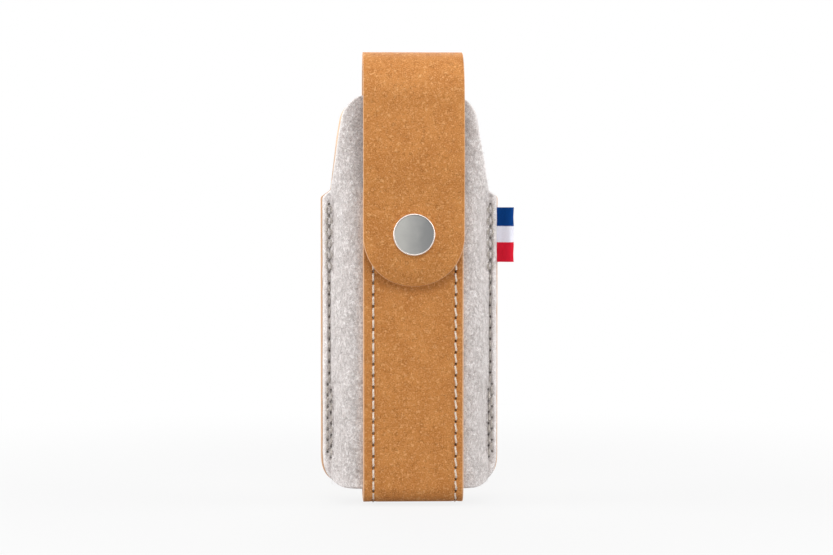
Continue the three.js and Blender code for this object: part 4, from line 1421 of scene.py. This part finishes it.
# Softboxes in metres and watts: place, what it points at, width and height, power
SOFTBOXES = (
    ("left_softbox", (-0.88, -0.08, 0.26), (0, 0, 0), (0.5, 0.8), 8.4),
    ("right_softbox", (0.88, -0.1, 0.26), (0, 0, 0), (0.5, 0.8), 6.9),
    ("front_softbox", (0.0, -0.55, 0.36), (0, -0.02, 0.0), (0.6, 0.3), 1.95),
    ("back_softbox", (0.0, 0.6, 0.4), (0, 0.02, 0.0), (0.6, 0.4), 1.8),
    ("overhead_softbox", (0.0, -0.12, 0.7), (0, 0, 0), (0.5, 0.5), 1.2),
)


def look(thing, place, way):
    """Puts a camera or a lamp in its place and turns it to look one way."""
    thing.location = place
    thing.rotation_mode = "QUATERNION"
    thing.rotation_quaternion = way.to_track_quat("-Z", "Y")


def seen_directly(nodes):
    """Whether the camera sees a place, straight or by way of a shiny or clear surface."""
    path = nodes.add("ShaderNodeLightPath").outputs
    indirect = nodes.math("MAXIMUM", path["Is Glossy Ray"], path["Is Transmission Ray"])
    return nodes.math("MAXIMUM", path["Is Camera Ray"], indirect)


def make_camera():
    """Looks at the middle of the sheath from the front, a little from its left and from above."""
    data = bpy.data.cameras.new("camera")
    data.sensor_width = 36.0
    data.lens = data.sensor_width * VIEW_DISTANCE / VIEW_WIDTH
    camera = add_object("camera", data)
    turn = math.radians(VIEW_AZIMUTH)
    lift = math.radians(VIEW_ELEVATION)
    back = Vector((math.sin(turn) * math.cos(lift), -math.cos(turn) * math.cos(lift), math.sin(lift)))
    look(camera, (Vector(VIEW_TARGET) + back * VIEW_DISTANCE) * MM, -back)
    bpy.context.scene.camera = camera


def make_floor():
    """A wide white floor that keeps a faint shadow."""
    mesh = bpy.data.meshes.new("floor")
    reach = 3.0
    corners = [(x * reach, y * reach, cad_low.z) for x, y in ((-1, -1), (1, -1), (1, 1), (-1, 1))]
    mesh.from_pydata(corners, [], [(0, 1, 2, 3)])
    floor = add_object("floor", mesh)
    material, nodes, shader = new_material("white_floor")
    shader.inputs["Base Color"].default_value = (0.5, 0.5, 0.5, 1)
    shader.inputs["Roughness"].default_value = 0.9
    white = nodes.out("ShaderNodeEmission", {"Color": (1, 1, 1, 1), "Strength": 1.0})
    seen = seen_directly(nodes)
    place = nodes.add("ShaderNodeTexCoord").outputs["Object"]
    away = nodes.add("ShaderNodeVectorMath", {0: place}, operation="LENGTH").outputs["Value"]
    share = nodes.math("MULTIPLY", seen, nodes.between(away, 0.1, 0.3, 0.84, 1.0))
    mixed = nodes.out("ShaderNodeMixShader", {0: share, 1: shader.outputs[0], 2: white})
    output = next(n for n in material.node_tree.nodes if n.type == "OUTPUT_MATERIAL")
    nodes.put(output.inputs["Surface"], mixed)
    mesh.materials.append(material)


def make_world():
    """An even pale surround that the camera sees as white."""
    world = bpy.data.worlds.new("studio")
    bpy.context.scene.world = world
    world.use_nodes = True
    world.node_tree.nodes.clear()
    nodes = Nodes(world.node_tree)
    surround, white = (
        nodes.out("ShaderNodeBackground", {"Color": (1, 1, 1, 1), "Strength": strength})
        for strength in (0.2, 1.0)
    )
    mixed = nodes.out("ShaderNodeMixShader", {0: seen_directly(nodes), 1: surround, 2: white})
    nodes.add("ShaderNodeOutputWorld", {"Surface": mixed})


def make_light():
    """The surround, and softboxes on every side."""
    make_world()
    for name, place, target, size, power in SOFTBOXES:
        data = bpy.data.lights.new(name, "AREA")
        data.shape = "RECTANGLE"
        data.size, data.size_y = size
        data.energy = power
        look(add_object(name, data), place, Vector(target) - Vector(place))


bpy.context.scene.view_settings.view_transform = "Standard"
make_camera()
make_floor()
make_light()
dress_leather()
dress_panels()
sew_everything()
make_snap()
make_ribbon()
